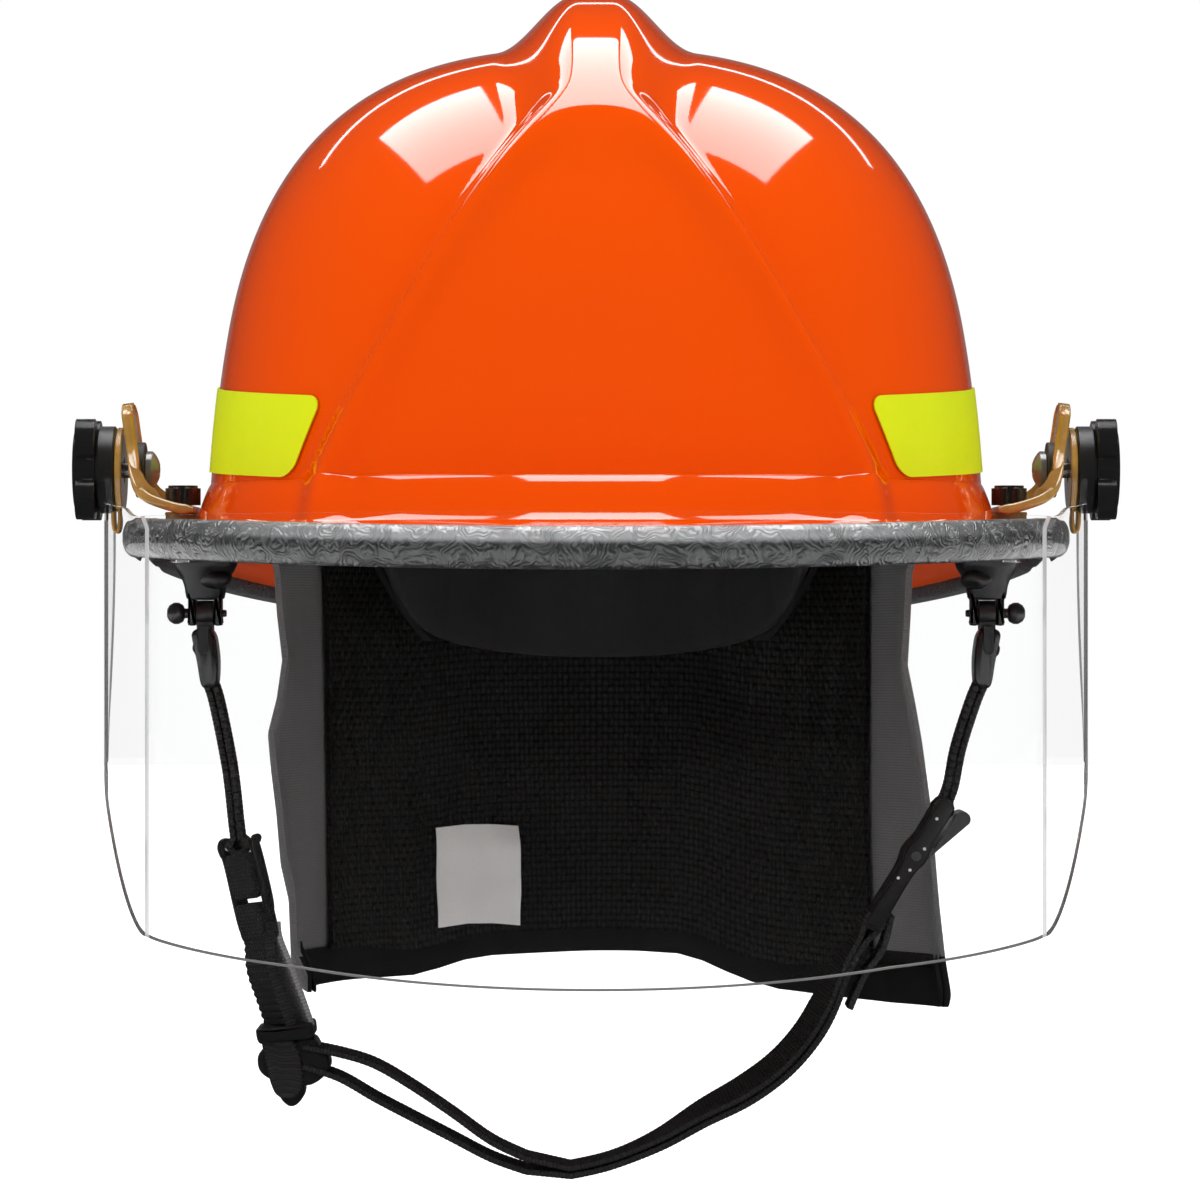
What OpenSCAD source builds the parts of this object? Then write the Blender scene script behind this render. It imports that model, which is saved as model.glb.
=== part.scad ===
// Fire helmet with a clear face shield, a neck cape and a chin strap.
// Origin: centre of the head opening at brim height. Front is -Y, left of the picture is -X.

/* [Shell] */
// Width of the dome at its foot
shell_w = 232; // [224:1:240]
// Length from the origin to the front of the dome
shell_front = 138; // [130:1:146]
// Length from the origin to the back of the dome
shell_rear = 152; // [146:1:160]
// Height of the dome without its keel
dome_h = 148; // [142:1:154]
// Wall of the shell
shell_wall = 2.6; // [2:0.1:3.2]
// Height of the keel over the crown
keel_h = 16; // [10:1:20]
// Half width of the keel at its foot
keel_half_w = 30; // [26:1:34]
// Half width of the front panel at its foot
panel_half_w = 83; // [76:1:88]
// Depth of the front panel below its crest
panel_recess = 4; // [2:0.5:6]

/* [Brim] */
// Brim width at the sides
brim_side = 25; // [23:1:28]
// Brim width at the front
brim_front = 42; // [36:1:48]
// Brim width at the back
brim_rear = 48; // [42:1:56]
// Drop of the brim edge at the front
drop_front = 5; // [2:1:8]
// Drop of the brim edge at the back
drop_rear = 24; // [16:1:28]
// Height of the edge trim
trim_h = 12; // [10:0.5:14]
// How far the edge trim stands out past the brim
trim_out = 3; // [2.5:0.1:3.6]

/* [Face shield] */
// Thickness of the lens
lens_t = 2.5; // [2:0.1:3]
// Gap between the lens and the trim at the pivots
lens_side_gap = 3.3; // [3:0.1:4.5]
// Gap between the lens and the trim at the front
lens_front_gap = 5; // [4:0.5:8]
// Depth of the lens below the brim at the middle
lens_drop = 126; // [110:1:134]
// Height of the pivots above the brim edge
pivot_z = 21; // [19:0.5:23]
// Distance of the pivots behind the origin
pivot_y = 3; // [0:0.5:5]
// Diameter of the pivot screws
pivot_d = 5; // [4:0.5:6]
// Diameter of the pivot knobs
knob_d = 38; // [34:1:42]
// Thickness of the pivot knobs
knob_t = 7; // [6:0.5:9]

/* [Suspension] */
// Width of the headband
band_w = 156; // [146:1:164]
// Length of the headband
band_l = 196; // [186:1:204]
// Thickness of the headband
band_t = 2; // [1.6:0.2:2.4]
// Thickness of the impact cap
cap_t = 12; // [9:1:15]
// Diameter of the ratchet knob
ratchet_d = 40; // [34:1:46]

/* [Cape and strap] */
// Depth of the neck cape below the brim edge at the back
cape_drop = 133; // [110:1:145]
// Width of the chin strap webbing
web_w = 19; // [16:1:22]
// Thickness of the chin strap webbing
web_t = 2.2; // [1.6:0.2:2.6]

/* [Rear ring] */
// Inner width of the hanging ring
ring_in = 30; // [26:1:36]
// Thickness of the hanging ring's wire
ring_d = 4; // [3:0.5:5]

/* [Hidden] */
$fn = 48;

// Exponents of the dome: in its profile and in its plan
dome_q = 2.8;
plan_p = 2.2;
// Angle of the keel's fork above the front, seen from the side
fork_angle = 48;
fork_bend = 1.65;
// Half width of the keel's flat top
keel_flat = 5;
// Height of the keel at the front and at the back, as a share of its height at the crown
keel_front_share = 0.42;
keel_rear_share = 0.45;
// Width of the crest's outer flank at the front
flank_w = 11;
// Level ledge inside the crest, and the slope from it down to the panel
crest_ledge = 3;
panel_fillet = 13;
// Angle below the fork over which the panel reaches its depth
panel_tip = 6;
// Angles above the front between which the flank widens to the keel's
flank_from = 25;
flank_to = 60;
// Height of the dome's foot, where the fillet to the brim starts
foot_z = 16;
brim_fillet_h = 12.5;
fillet_n = 3;
// Flat strip of the brim inside the edge trim
brim_flat = 6;
around = 96;
dome_rows = 17;
inner_rows = 12;
fillet_rows = 6;
soft_gap = 0.4;
run_gap = 0.3;
seat = 0.1;

half_w = shell_w / 2;
edge_w = half_w + brim_side;
edge_front = shell_front + brim_front;
edge_rear = shell_rear + brim_rear;
screw_hole = 4.6;
screw_d = 4;

// Signed power
function spow(v, e) = sign(v) * pow(abs(v), e);
// Smooth step from 0 to 1
function smooth(v) = let (u = min(1, max(0, v))) u * u * (3 - 2 * u);
function mix(a, b, u) = a + (b - a) * u;
function flat(rows) = [for (row = rows) for (p = row) p];

// Angle of the i-th meridian, closer together at the front and the back, where the keel runs
function meridian(i, n) = let (a = 360 * i / n) a + 12 * sin(2 * a);

// Height that the keel and the crest of the front panel add to the dome at x,
// psi degrees round the X axis from the front
function crest_x(psi) =
    keel_flat + (panel_half_w - keel_flat)
        * (1 - pow(min(fork_angle, max(0, psi)) / fork_angle, fork_bend));
function keel_top(psi) = psi < 90
    ? keel_h * mix(keel_front_share, 1, smooth((psi + 10) / 85))
    : keel_h * mix(1, keel_rear_share, smooth((psi - 90) / 85));
function flank(psi) = psi < 90
    ? mix(flank_w, keel_half_w - keel_flat, smooth((psi - flank_from) / (flank_to - flank_from)))
    : (keel_half_w - keel_flat) * mix(1, 1.5, smooth((psi - 90) / 80));
function keel(x, psi) =
    let (out = abs(x) - crest_x(psi), top = keel_top(psi))
    out >= 0
        ? top * (out >= flank(psi) ? 0 : (1 + cos(180 * out / flank(psi))) / 2)
        : top - panel_recess * smooth((-out - crest_ledge) / panel_fillet)
            * smooth((fork_angle - psi) / panel_tip);

// Point of the dome, th degrees round from +X and t degrees up from its foot, off mm outside
// the shell's outer face; the keel moves it away from the X axis
function with_keel(p) =
    let (psi = atan2(p[2], -p[1]), r = norm([p[1], p[2]]), k = r < 1 ? 0 : keel(p[0], psi) / r)
    [p[0], p[1] * (1 + k), p[2] * (1 + k)];
function dome_base(th, t, off) =
    let (c = pow(cos(t), 2 / dome_q), s = sin(th) < 0 ? shell_front : shell_rear)
    [(half_w + off) * spow(cos(th), 2 / plan_p) * c,
     (s + off) * spow(sin(th), 2 / plan_p) * c,
     (dome_h + off) * pow(sin(t), 2 / dome_q)];
function dome_point(th, t, off) = with_keel(dome_base(th, t, off));
// Profile angle at which the dome, off mm outside the shell, is z high
function angle_at(z, off) = asin(pow(z / (dome_h + off), dome_q / 2));

// Brim edge in plan, its height, and the fillet between the dome's foot and the edge
function edge_point(th, inset) =
    [(edge_w - inset) * cos(th), ((sin(th) < 0 ? edge_front : edge_rear) - inset) * sin(th)];
function edge_z(y) = y < 0
    ? -drop_front * pow(-y / edge_front, 1.8)
    : -drop_rear * pow(y / edge_rear, 1.15);
function brim_top(u, z_edge) =
    let (v = pow(1 - pow(1 - u, fillet_n), 1 / fillet_n), low = z_edge + shell_wall / 2)
    low + (foot_z - low - brim_fillet_h) * (1 - u) + brim_fillet_h * (1 - v);
function brim_point(th, k, off) =
    let (a = 90 * k / fillet_rows,
         u = 1 - pow(cos(a), 2 / fillet_n),
         foot = dome_point(th, angle_at(foot_z, off), off),
         rim = edge_point(th, brim_flat),
         z = brim_top(u, edge_z(rim[1])))
    [mix(foot[0], rim[0], u), mix(foot[1], rim[1], u), mix(foot[2], z + off, min(1, 4 * u))];
// Top of the brim at the side, x mm from the middle, and behind the dome, y mm behind the origin
function side_top(x) = brim_top((x - half_w) / (edge_w - brim_flat - half_w), 0);
foot_rear = dome_point(90, angle_at(foot_z, 0), 0)[1];
rim_rear = edge_rear - brim_flat;
function rear_top(y) = brim_top((y - foot_rear) / (rim_rear - foot_rear), edge_z(rim_rear));

// Closed solid round the Z axis: a pole, rings of n points, and a pole again. The quads of the
// left half are split the other way, so that the crests on both sides run along the edges
module ringed_solid(first, rings, last) {
    n = len(rings[0]);
    m = len(rings);
    end = 1 + m * n;
    polyhedron(
        points = concat([first], flat(rings), [last]),
        faces = concat(
            [for (i = [0 : n - 1]) [0, 1 + (i + 1) % n, 1 + i]],
            [for (j = [0 : m - 2]) for (i = [0 : n - 1])
                let (a = 1 + j * n + i, b = 1 + j * n + (i + 1) % n, left = i >= n / 4 && i < 3 * n / 4)
                [a, b, (left ? a : b) + n]],
            [for (j = [0 : m - 2]) for (i = [0 : n - 1])
                let (a = 1 + j * n + i, b = 1 + j * n + (i + 1) % n, left = i >= n / 4 && i < 3 * n / 4)
                [left ? b : a, b + n, a + n]],
            [for (i = [0 : n - 1]) [end, 1 + (m - 1) * n + i, 1 + (m - 1) * n + (i + 1) % n]]));
}

// Closed solid from sections of k points that follow each other round a closed path
module looped_solid(sections) {
    n = len(sections);
    k = len(sections[0]);
    polyhedron(
        points = flat(sections),
        faces = concat(
            [for (i = [0 : n - 1]) for (j = [0 : k - 1])
                [i * k + j, ((i + 1) % n) * k + j, ((i + 1) % n) * k + (j + 1) % k]],
            [for (i = [0 : n - 1]) for (j = [0 : k - 1])
                [i * k + j, ((i + 1) % n) * k + (j + 1) % k, i * k + (j + 1) % k]]));
}

// Closed solid between two grids of points, the first one outside
module sheet_solid(outer, inner) {
    n = len(outer);
    k = len(outer[0]);
    b = n * k;
    rim = concat([for (j = [0 : k - 1]) j], [for (i = [1 : n - 1]) i * k + k - 1],
        [for (j = [k - 2 : -1 : 0]) (n - 1) * k + j], [for (i = [n - 2 : -1 : 1]) i * k]);
    r = len(rim);
    polyhedron(
        points = concat(flat(outer), flat(inner)),
        faces = concat(
            [for (i = [0 : n - 2]) for (j = [0 : k - 2]) [i * k + j, i * k + j + 1, (i + 1) * k + j + 1]],
            [for (i = [0 : n - 2]) for (j = [0 : k - 2])
                [i * k + j, (i + 1) * k + j + 1, (i + 1) * k + j]],
            [for (i = [0 : n - 2]) for (j = [0 : k - 2])
                [b + i * k + j, b + (i + 1) * k + j + 1, b + i * k + j + 1]],
            [for (i = [0 : n - 2]) for (j = [0 : k - 2])
                [b + i * k + j, b + (i + 1) * k + j, b + (i + 1) * k + j + 1]],
            [for (i = [0 : r - 1]) [rim[i], b + rim[(i + 1) % r], rim[(i + 1) % r]]],
            [for (i = [0 : r - 1]) [rim[i], b + rim[i], b + rim[(i + 1) % r]]]));
}

module both_sides() {
    for (side = [-1, 1])
        scale([side, 1, 1])
            children();
}

module one_side(side) {
    mirror([side < 0 ? 1 : 0, 0, 0])
        children();
}

// Cylinder along X between two distances from the middle
module across(x0, x1, d, y = pivot_y, z = pivot_z) {
    translate([x0, y, z])
        rotate([0, 90, 0])
            cylinder(d = d, h = x1 - x0);
}

function shell_ring_at(t, off) = [for (i = [0 : around - 1]) dome_point(meridian(i, around), t, off)];
function fillet_ring(k, off) = [for (i = [0 : around - 1]) brim_point(meridian(i, around), k, off)];
function edge_ring(off) = [for (i = [0 : around - 1])
    let (e = edge_point(meridian(i, around), 0), f = edge_point(meridian(i, around), brim_flat))
    [e[0], e[1], edge_z(f[1]) + shell_wall / 2 + off]];
function dome_rings(rows, off) =
    let (low = angle_at(foot_z, off))
    [for (j = [1 : rows]) shell_ring_at(90 - (90 - low) * pow(j / rows, 1.08), off)];
function reversed(list) = [for (i = [len(list) - 1 : -1 : 0]) list[i]];

bracket_screw_x = half_w + 10;
bracket_screw_y = -10;
ring_bracket_y = mix(foot_rear, rim_rear, 0.7);
ring_tilt = -atan((foot_z - edge_z(rim_rear) - brim_fillet_h) / (rim_rear - foot_rear));
ring_screw_x = 10;
ring_screw_back = 9;
ring_gap = 2.2;
ring_low = rear_top(ring_bracket_y) - shell_wall - ring_gap;
// Height of the brim's top above the clip's plane, y mm from the ring's axis
function brim_over_clip(y) =
    (rear_top(ring_bracket_y + y) - ring_low) * cos(ring_tilt) - y * sin(ring_tilt);

module shell() {
    outer = concat(dome_rings(dome_rows, 0), [for (k = [1 : fillet_rows]) fillet_ring(k, 0)],
        [edge_ring(0)]);
    inner = concat(dome_rings(inner_rows, -shell_wall),
        [for (k = [1 : fillet_rows]) fillet_ring(k, -shell_wall)], [edge_ring(-shell_wall)]);
    color("orangered")
        difference() {
            ringed_solid(dome_point(0, 90, 0), concat(outer, reversed(inner)),
                dome_point(0, 90, -shell_wall));
            both_sides()
                translate([bracket_screw_x, bracket_screw_y, -8])
                    cylinder(d = screw_hole, h = 22);
            ring_frame()
                for (x = [-ring_screw_x, ring_screw_x])
                    translate([x, -ring_screw_back, -6])
                        cylinder(d = screw_hole, h = 20);
        }
}

// Section of the rubber trim: a rounded bead with a slot for the brim, out and up from the edge
slot = shell_wall / 2 + seat;
trim_section = [[trim_out, 0], [0.75 * trim_out, 0.3 * trim_h], [0.1 * trim_out, 0.5 * trim_h],
    [-4.2, 0.43 * trim_h], [-5.2, slot], [seat, slot], [seat, -slot], [-5.2, -slot],
    [-4.2, -0.43 * trim_h], [0.1 * trim_out, -0.5 * trim_h], [0.75 * trim_out, -0.3 * trim_h]];

module edge_trim() {
    color("dimgray")
        looped_solid([for (i = [0 : around - 1])
            let (th = meridian(i, around), e = edge_point(th, 0), f = edge_point(th, brim_flat),
                 b = sin(th) < 0 ? edge_front : edge_rear,
                 nrm = [cos(th) / edge_w, sin(th) / b], out = nrm / norm(nrm))
            [for (p = trim_section) [e[0] + p[0] * out[0], e[1] + p[0] * out[1], edge_z(f[1]) + p[1]]]]);
}

// Point of the shell's face az degrees round from the front towards the side, z high
function skin(az, z, off) =
    let (rho = pow(1 - pow(z / (dome_h + off), dome_q), 1 / dome_q),
         b = cos(az) > 0 ? shell_front : shell_rear,
         r = rho * pow(pow(abs(sin(az)) / (half_w + off), plan_p)
             + pow(abs(cos(az)) / (b + off), plan_p), -1 / plan_p))
    with_keel([r * sin(az), -r * cos(az), z]);

tape_low = foot_z + 0.3;
tape_high = 43;
tape_t = 0.5;
tape_gap = 0.3;
// Extra height of the tape's front end over the foot of the crest
tape_lift = 0.45;

module tape(front_low, front_high, rear_low, rear_high, climb) {
    n = 14;
    k = 4;
    function at(i, j, off) =
        let (v = j / k, u = pow(i / n, 1.5),
             az = mix(mix(front_low, front_high, v), mix(rear_low, rear_high, v), u))
        skin(az, mix(tape_low + climb * u, tape_high - 3.5 + 2 * climb * u, v),
            off + tape_lift * smooth(1 - 8 * u));
    sheet_solid([for (i = [0 : n]) [for (j = [0 : k]) at(i, j, tape_gap + tape_t)]],
        [for (i = [0 : n]) [for (j = [0 : k]) at(i, j, tape_gap)]]);
}

module reflective_tapes() {
    color("yellowgreen")
        both_sides() {
            tape(41.5, 36, 100, 98, 4);
            tape(126, 128, 156, 152, 0);
        }
}

cap_foot = 32;
cap_gap = 0.5;
function cap_ring(t, off) = [for (i = [0 : 47]) dome_base(360 * i / 48, t, off)];
function cap_rings(rows, off) =
    let (low = angle_at(cap_foot, off))
    [for (j = [1 : rows]) cap_ring(90 - (90 - low) * j / rows, off)];

module impact_cap() {
    out = -shell_wall - cap_gap;
    color("khaki")
        ringed_solid(dome_base(0, 90, out),
            concat(cap_rings(8, out), reversed(cap_rings(7, out - cap_t))),
            dome_base(0, 90, out - cap_t));
}

// Headband: an oval ring, higher at the brow and lower at the nape
band_y = 0;
band_top = 36;
band_low = 4;
nape_low = -32;
function oval(a, b, n = 72) = [for (i = [0 : n - 1]) [a * cos(360 * i / n), b * sin(360 * i / n)]];
module oval_ring(grow, t, z0, z1) {
    translate([0, band_y, z0])
        linear_extrude(z1 - z0)
            difference() {
                polygon(oval(band_w / 2 + grow, band_l / 2 + grow));
                polygon(oval(band_w / 2 + grow - t, band_l / 2 + grow - t));
            }
}
// Side outline of the band: the brow part and the part that drops to the nape
module band_outline(margin) {
    half = band_l / 2 + 20;
    rotate([90, 0, 90])
        translate([0, 0, -band_w])
            linear_extrude(2 * band_w)
                polygon([[-half, band_low + margin], [10, band_low + margin], [45, -6 + margin],
                    [72, nape_low + margin], [half, nape_low + margin], [half, 2 - margin],
                    [70, 6 - margin], [40, 30 - margin], [0, band_top - margin], [-half, band_top - margin]]);
}

key_azimuths = [45, 135, 225, 315];
key_z = band_top + 0.3;
key_h = 14;
key_clear = 3.3;
// The tabs of the headband start lower at the back, where the band is lower
function tab_low(az) = sin(az) > 0 ? 0 : key_z - 9;
function oval_radius(a, b, az) = pow(pow(cos(az) / a, 2) + pow(sin(az) / b, 2), -0.5);
function cap_radius(az, z, off) =
    pow(1 - pow(z / (dome_h + off), dome_q), 1 / dome_q)
    * pow(pow(abs(cos(az)) / (half_w + off), plan_p)
        + pow(abs(sin(az)) / ((sin(az) < 0 ? shell_front : shell_rear) + off), plan_p), -1 / plan_p);

module headband() {
    color("black") {
        intersection() {
            oval_ring(band_t, band_t, nape_low, band_top);
            band_outline(0);
        }
        for (az = key_azimuths)
            rotate(az)
                translate([oval_radius(band_w / 2 + band_t, band_l / 2 + band_t, az) - band_t / 2, -6, tab_low(az)])
                    cube([band_t / 2 + 1, 12, key_z + key_h - 6 - tab_low(az)]);
    }
}

module suspension_keys() {
    color("dimgray")
        for (az = key_azimuths) {
            r0 = oval_radius(band_w / 2 + band_t, band_l / 2 + band_t, az) + 1 + seat;
            r1 = cap_radius(az, key_z + key_h, -shell_wall - cap_gap - cap_t) - key_clear;
            rotate(az)
                translate([r0, 0, key_z])
                    difference() {
                        translate([0, -9, 0])
                            cube([r1 - r0, 18, key_h]);
                        translate([4, -web_w / 2 + 3, key_h / 2])
                            cube([3, web_w - 6, key_h]);
                    }
        }
}

crown_z = 118;
crown_web = 1.4;
crown_foot = key_z + key_h + seat;
module crown_strap(az, level) {
    r0 = min(oval_radius(band_w / 2, band_l / 2, az), oval_radius(band_w / 2, band_l / 2, az + 180)) + 10;
    n = 20;
    h = crown_z - level - crown_foot;
    function arch(a, grow) = [(r0 + grow) * spow(cos(a), 0.8), (h + grow) * spow(sin(a), 0.9)];
    rotate(az)
        translate([0, 0, crown_foot])
            rotate([90, 0, 0])
                linear_extrude(web_w - 4, center = true)
                    polygon(concat([for (i = [0 : n]) arch(180 * i / n, 0)],
                        [for (i = [n : -1 : 0]) arch(180 * i / n, -crown_web)]));
}

module crown_straps() {
    color("black") {
        crown_strap(45, 0);
        crown_strap(135, crown_web + seat);
    }
}

module crown_pad() {
    top = crown_z - 2 * crown_web - 2 * seat - 0.2;
    color("black")
        translate([0, 0, top - 5])
            rotate_extrude($fn = 40)
                polygon([[0, 0], [30, -2], [37, -2.5], [39, -0.5], [37, 1], [26, 3.6], [10, 4.9], [0, 5]]);
}

module brow_pad() {
    color("darkslategray")
        intersection() {
            oval_ring(-soft_gap, 6, band_low, band_top);
            band_outline(1);
            translate([-band_w, -band_l, -50])
                cube([2 * band_w, band_l - 10, 100]);
        }
}

// The nape pad wraps the band's low rear part and shows below it as a dark crescent
module nape_pad() {
    low = nape_low - 6;
    color("dimgray")
        intersection() {
            oval_ring(-soft_gap, 7, low, 20);
            translate([-band_w, 38, low])
                cube([2 * band_w, band_l, 60]);
            rotate([-90, 0, 0])
                linear_extrude(band_l)
                        polygon([for (i = [0 : 24])
                            let (a = 180 * i / 24) [-band_w / 2 * cos(a), 18 + (-low - 18) * sin(a)],
                            [band_w / 2, -20], [-band_w / 2, -20]]);
        }
}

ratchet_y = band_l / 2 + band_t + seat;
ratchet_z = -14;
housing_t = 9;
shaft_d = 9;

module ratchet_housing() {
    color("black")
        translate([0, ratchet_y, ratchet_z])
            rotate([-90, 0, 0])
                difference() {
                    union() {
                        linear_extrude(housing_t)
                            offset(r = 6, $fn = 24)
                                square([56, 22], center = true);
                        cylinder(d = ratchet_d - 6, h = housing_t + 2);
                    }
                    translate([0, 0, 2])
                        cylinder(d = shaft_d + 2 * run_gap, h = 30);
                    translate([0, 0, -ratchet_y])
                        rotate([90, 0, 0])
                            linear_extrude(80, center = true)
                                polygon(oval(band_w / 2 + band_t + seat, band_l / 2 + band_t + seat));
                }
}

module ratchet_knob() {
    grips = 20;
    color("darkslategray")
        translate([0, ratchet_y + housing_t + 2 + run_gap, ratchet_z])
            rotate([-90, 0, 0])
                difference() {
                    union() {
                        translate([0, 0, -housing_t + 0.5])
                            cylinder(d = shaft_d, h = housing_t);
                        rotate_extrude()
                            polygon([[0, 0], [ratchet_d / 2, 0], [ratchet_d / 2, 11],
                                [ratchet_d / 2 - 2, 13], [ratchet_d / 2 - 6, 13], [ratchet_d / 2 - 9, 11], [0, 11]]);
                    }
                    for (i = [0 : grips - 1])
                        rotate(360 * i / grips)
                            translate([ratchet_d / 2 + 0.8, 0, 3])
                                cylinder(d = 4, h = 20, $fn = 16);
                }
}

// Neck cape. u runs from -1 at its left front edge to 1 at its right one, v from 0 at the top to 1
cape_reach = 83;
cape_t = 2.4;
lining_t = 1.4;
lining_gap = 1.1;
cape_top_z = foot_z + 2;
cape_half_low = half_w - 15;
cape_rear_low = 158;
fold_depth = 4.5;
function cape_point(u, v, inset) =
    let (a = cape_reach * u,
         top_w = half_w - shell_wall - soft_gap,
         top_r = shell_rear - shell_wall - soft_gap,
         w = mix(top_w, cape_half_low, smooth(v / 0.16)) + 6 * v * v * max(0, u),
         r = mix(top_r, cape_rear_low, v),
         fold = fold_depth * smooth(1.4 * v) * (cos(7 * a + 40) + 0.5 * cos(11 * a)) / 1.5,
         rx = w - inset + 0.35 * fold * cos(a) - 1.5 * smooth(1.4 * v),
         ry = r - inset + fold - 4 * smooth(1.4 * v),
         low = -cape_drop - 3 * cos(3 * a))
    [rx * spow(sin(a), 2 / mix(plan_p, 2, v)), ry * spow(cos(a), 2 / mix(plan_p, 2, v)) + 6 * v,
     mix(cape_top_z, low, v)];

module cape_sheet(u0, u1, n, v0, v1, k, out, t) {
    sheet_solid([for (i = [0 : n]) [for (j = [0 : k])
            cape_point(mix(u0, u1, i / n), mix(v0, v1, j / k), out)]],
        [for (i = [0 : n]) [for (j = [0 : k])
            cape_point(mix(u0, u1, i / n), mix(v0, v1, j / k), out + t)]]);
}

module neck_cape() {
    color("dimgray")
        cape_sheet(-1, 1, 44, 0, 1, 12, 0, cape_t);
}

module cape_lining() {
    color("black")
        cape_sheet(-0.76, 0.76, 40, 0.03, 0.985, 12, cape_t + lining_gap, lining_t);
}

module cape_tag() {
    n = 5;
    k = 5;
    out = cape_t + lining_gap + lining_t + soft_gap;
    function at(i, j, off) = cape_point(mix(-0.41, -0.19, i / n), mix(0.745, 0.955, j / k), off);
    color("white")
        sheet_solid([for (i = [0 : n]) [for (j = [0 : k]) at(i, j, out)]],
            [for (i = [0 : n]) [for (j = [0 : k]) at(i, j, out + 0.6)]]);
}

// Lens in plan, right half: an arc round the front, a straight wing and a bend to the flat at the pivot
lens_half = edge_w + trim_out + lens_side_gap + lens_t;
lens_front = edge_front + trim_out + lens_front_gap + lens_t;
lens_top = 36;
lens_lip = 5;
// Radius of the lens's lobe at the pivot
lens_lobe = 13;
lens_rear = pivot_y + lens_lobe;
crease_x = lens_half - 21;
crease_y = -(lens_front - 78.5);
bend_r = 99;
bend_a = 12.8;
bend_y = -8;
front_sag = lens_front + crease_y;
front_r = (pow(crease_x, 2) + pow(front_sag, 2)) / (2 * front_sag);
front_a = asin(crease_x / front_r);
function lens_plan(inset) = concat(
    [for (i = [0 : 24]) let (a = front_a * i / 24, r = front_r - inset)
        [r * sin(a), -lens_front + front_r - r * cos(a)]],
    [for (i = [0 : 4]) let (a = bend_a * (1 - i / 4), r = bend_r - inset)
        [lens_half - bend_r + r * cos(a), bend_y - r * sin(a)]],
    [[lens_half - inset, lens_rear + 1]]);
function mirrored_x(list) = [for (i = [len(list) - 1 : -1 : 0]) [-list[i][0], list[i][1]]];
function corner(cx, cy, r, a0, a1, n) = [for (i = [0 : n]) let (a = mix(a0, a1, i / n))
    [cx + r * cos(a), cy + r * sin(a)]];

// The lower edge rises by this much from the front to the crease, and from there a long round
// corner, an oval of this power, leads up to the rear edge
lens_rise = 10.8;
lens_corner_power = 1.8;
function lens_corner(a) =
    [crease_y + (lens_rear - crease_y) * pow(sin(a), 2 / lens_corner_power),
        -(lens_drop - lens_rise) * pow(cos(a), 2 / lens_corner_power)];

// Lens from the side: the lower edge, the round corner, and a lobe at the pivot
module lens_outline() {
    low = -lens_drop;
    polygon(concat([[-lens_front - 5, low], [-lens_front + 25, low + 5.5]],
        [for (i = [0 : 14]) lens_corner(90 * i / 14)],
        corner(pivot_y, pivot_z, lens_lobe, 0, 105, 8),
        [[-26, pivot_z + 6], [-46, 14], [-70, 8], [-110, lens_lip], [-lens_front - 5, lens_lip]]));
}

module lens() {
    outer = lens_plan(0);
    inner = lens_plan(lens_t);
    color("whitesmoke", 0.4)
        difference() {
            intersection() {
                translate([0, 0, -lens_drop - 5])
                    linear_extrude(lens_drop + 60)
                        polygon(concat(mirrored_x(outer), outer, reversed(inner), reversed(mirrored_x(inner))));
                rotate([90, 0, 90])
                    translate([0, 0, -lens_half - 5])
                        linear_extrude(2 * lens_half + 10)
                            lens_outline();
            }
            across(-lens_half - 5, lens_half + 5, pivot_d + 2 * run_gap);
        }
}

// Stack along each pivot, measured from the middle: the lens, then outwards and inwards
plate_t = 2.1;
ear_t = 3.5;
washer_t = 3;
head_t = 4.4;
collar_t = 3;
plate_x = lens_half - lens_t - seat - plate_t;
ear_x = plate_x - seat - ear_t;
washer_x = ear_x - seat - washer_t;
head_x = washer_x - seat - head_t;
collar_x = lens_half + seat;
knob_x = collar_x + collar_t + seat;

module shield_plates() {
    color("darkgoldenrod")
        both_sides()
            difference() {
                union() {
                    across(plate_x, plate_x + plate_t, 27);
                    translate([plate_x, pivot_y - 5, pivot_z - 19])
                        cube([plate_t, 10, 12]);
                    across(plate_x, plate_x + plate_t, 10, pivot_y, pivot_z - 17);
                }
                across(plate_x - 1, plate_x + plate_t + 1, pivot_d + 2 * run_gap);
                across(plate_x - 1, plate_x + plate_t + 1, 4.5, pivot_y, pivot_z - 16);
            }
}

module shield_collars() {
    color("black")
        both_sides()
            difference() {
                across(collar_x, collar_x + collar_t, 26);
                across(collar_x - 1, collar_x + collar_t + 1, pivot_d + 2 * run_gap);
            }
}

// Four-lobed hand knob, with a gap between two lobes towards the front
module pivot_knob() {
    lobes = 4;
    lobe_d = 0.35 * knob_d;
    lobe_at = (knob_d - lobe_d) / 2;
    color("black")
        difference() {
            union() {
                across(knob_x, knob_x + knob_t, 0.66 * knob_d);
                for (i = [0 : lobes - 1])
                    translate([0, pivot_y + lobe_at * cos(360 * (i + 0.5) / lobes),
                        pivot_z + lobe_at * sin(360 * (i + 0.5) / lobes)])
                        across(knob_x, knob_x + knob_t - 1, lobe_d, 0, 0);
            }
            across(knob_x - 1, knob_x + knob_t - 2, pivot_d + 2 * run_gap);
            across(knob_x + knob_t - 1, knob_x + knob_t + 1, 0.4 * knob_d);
        }
}

module knob_left() {
    one_side(-1)
        pivot_knob();
}

module knob_right() {
    one_side(1)
        pivot_knob();
}

module pivot_screws() {
    dome_r = 8;
    color("silver")
        both_sides() {
            across(head_x + head_t - 0.01, knob_x + knob_t - 2 - run_gap, pivot_d);
            translate([head_x + head_t, pivot_y, pivot_z])
                rotate([0, -90, 0])
                    difference() {
                        intersection() {
                            translate([0, 0, head_t - dome_r])
                                sphere(r = dome_r);
                            cylinder(d = 11.5, h = head_t);
                        }
                        translate([0, 0, head_t - 1.6])
                            cylinder(d = 4, h = 3, $fn = 6);
                    }
        }
}

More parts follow.
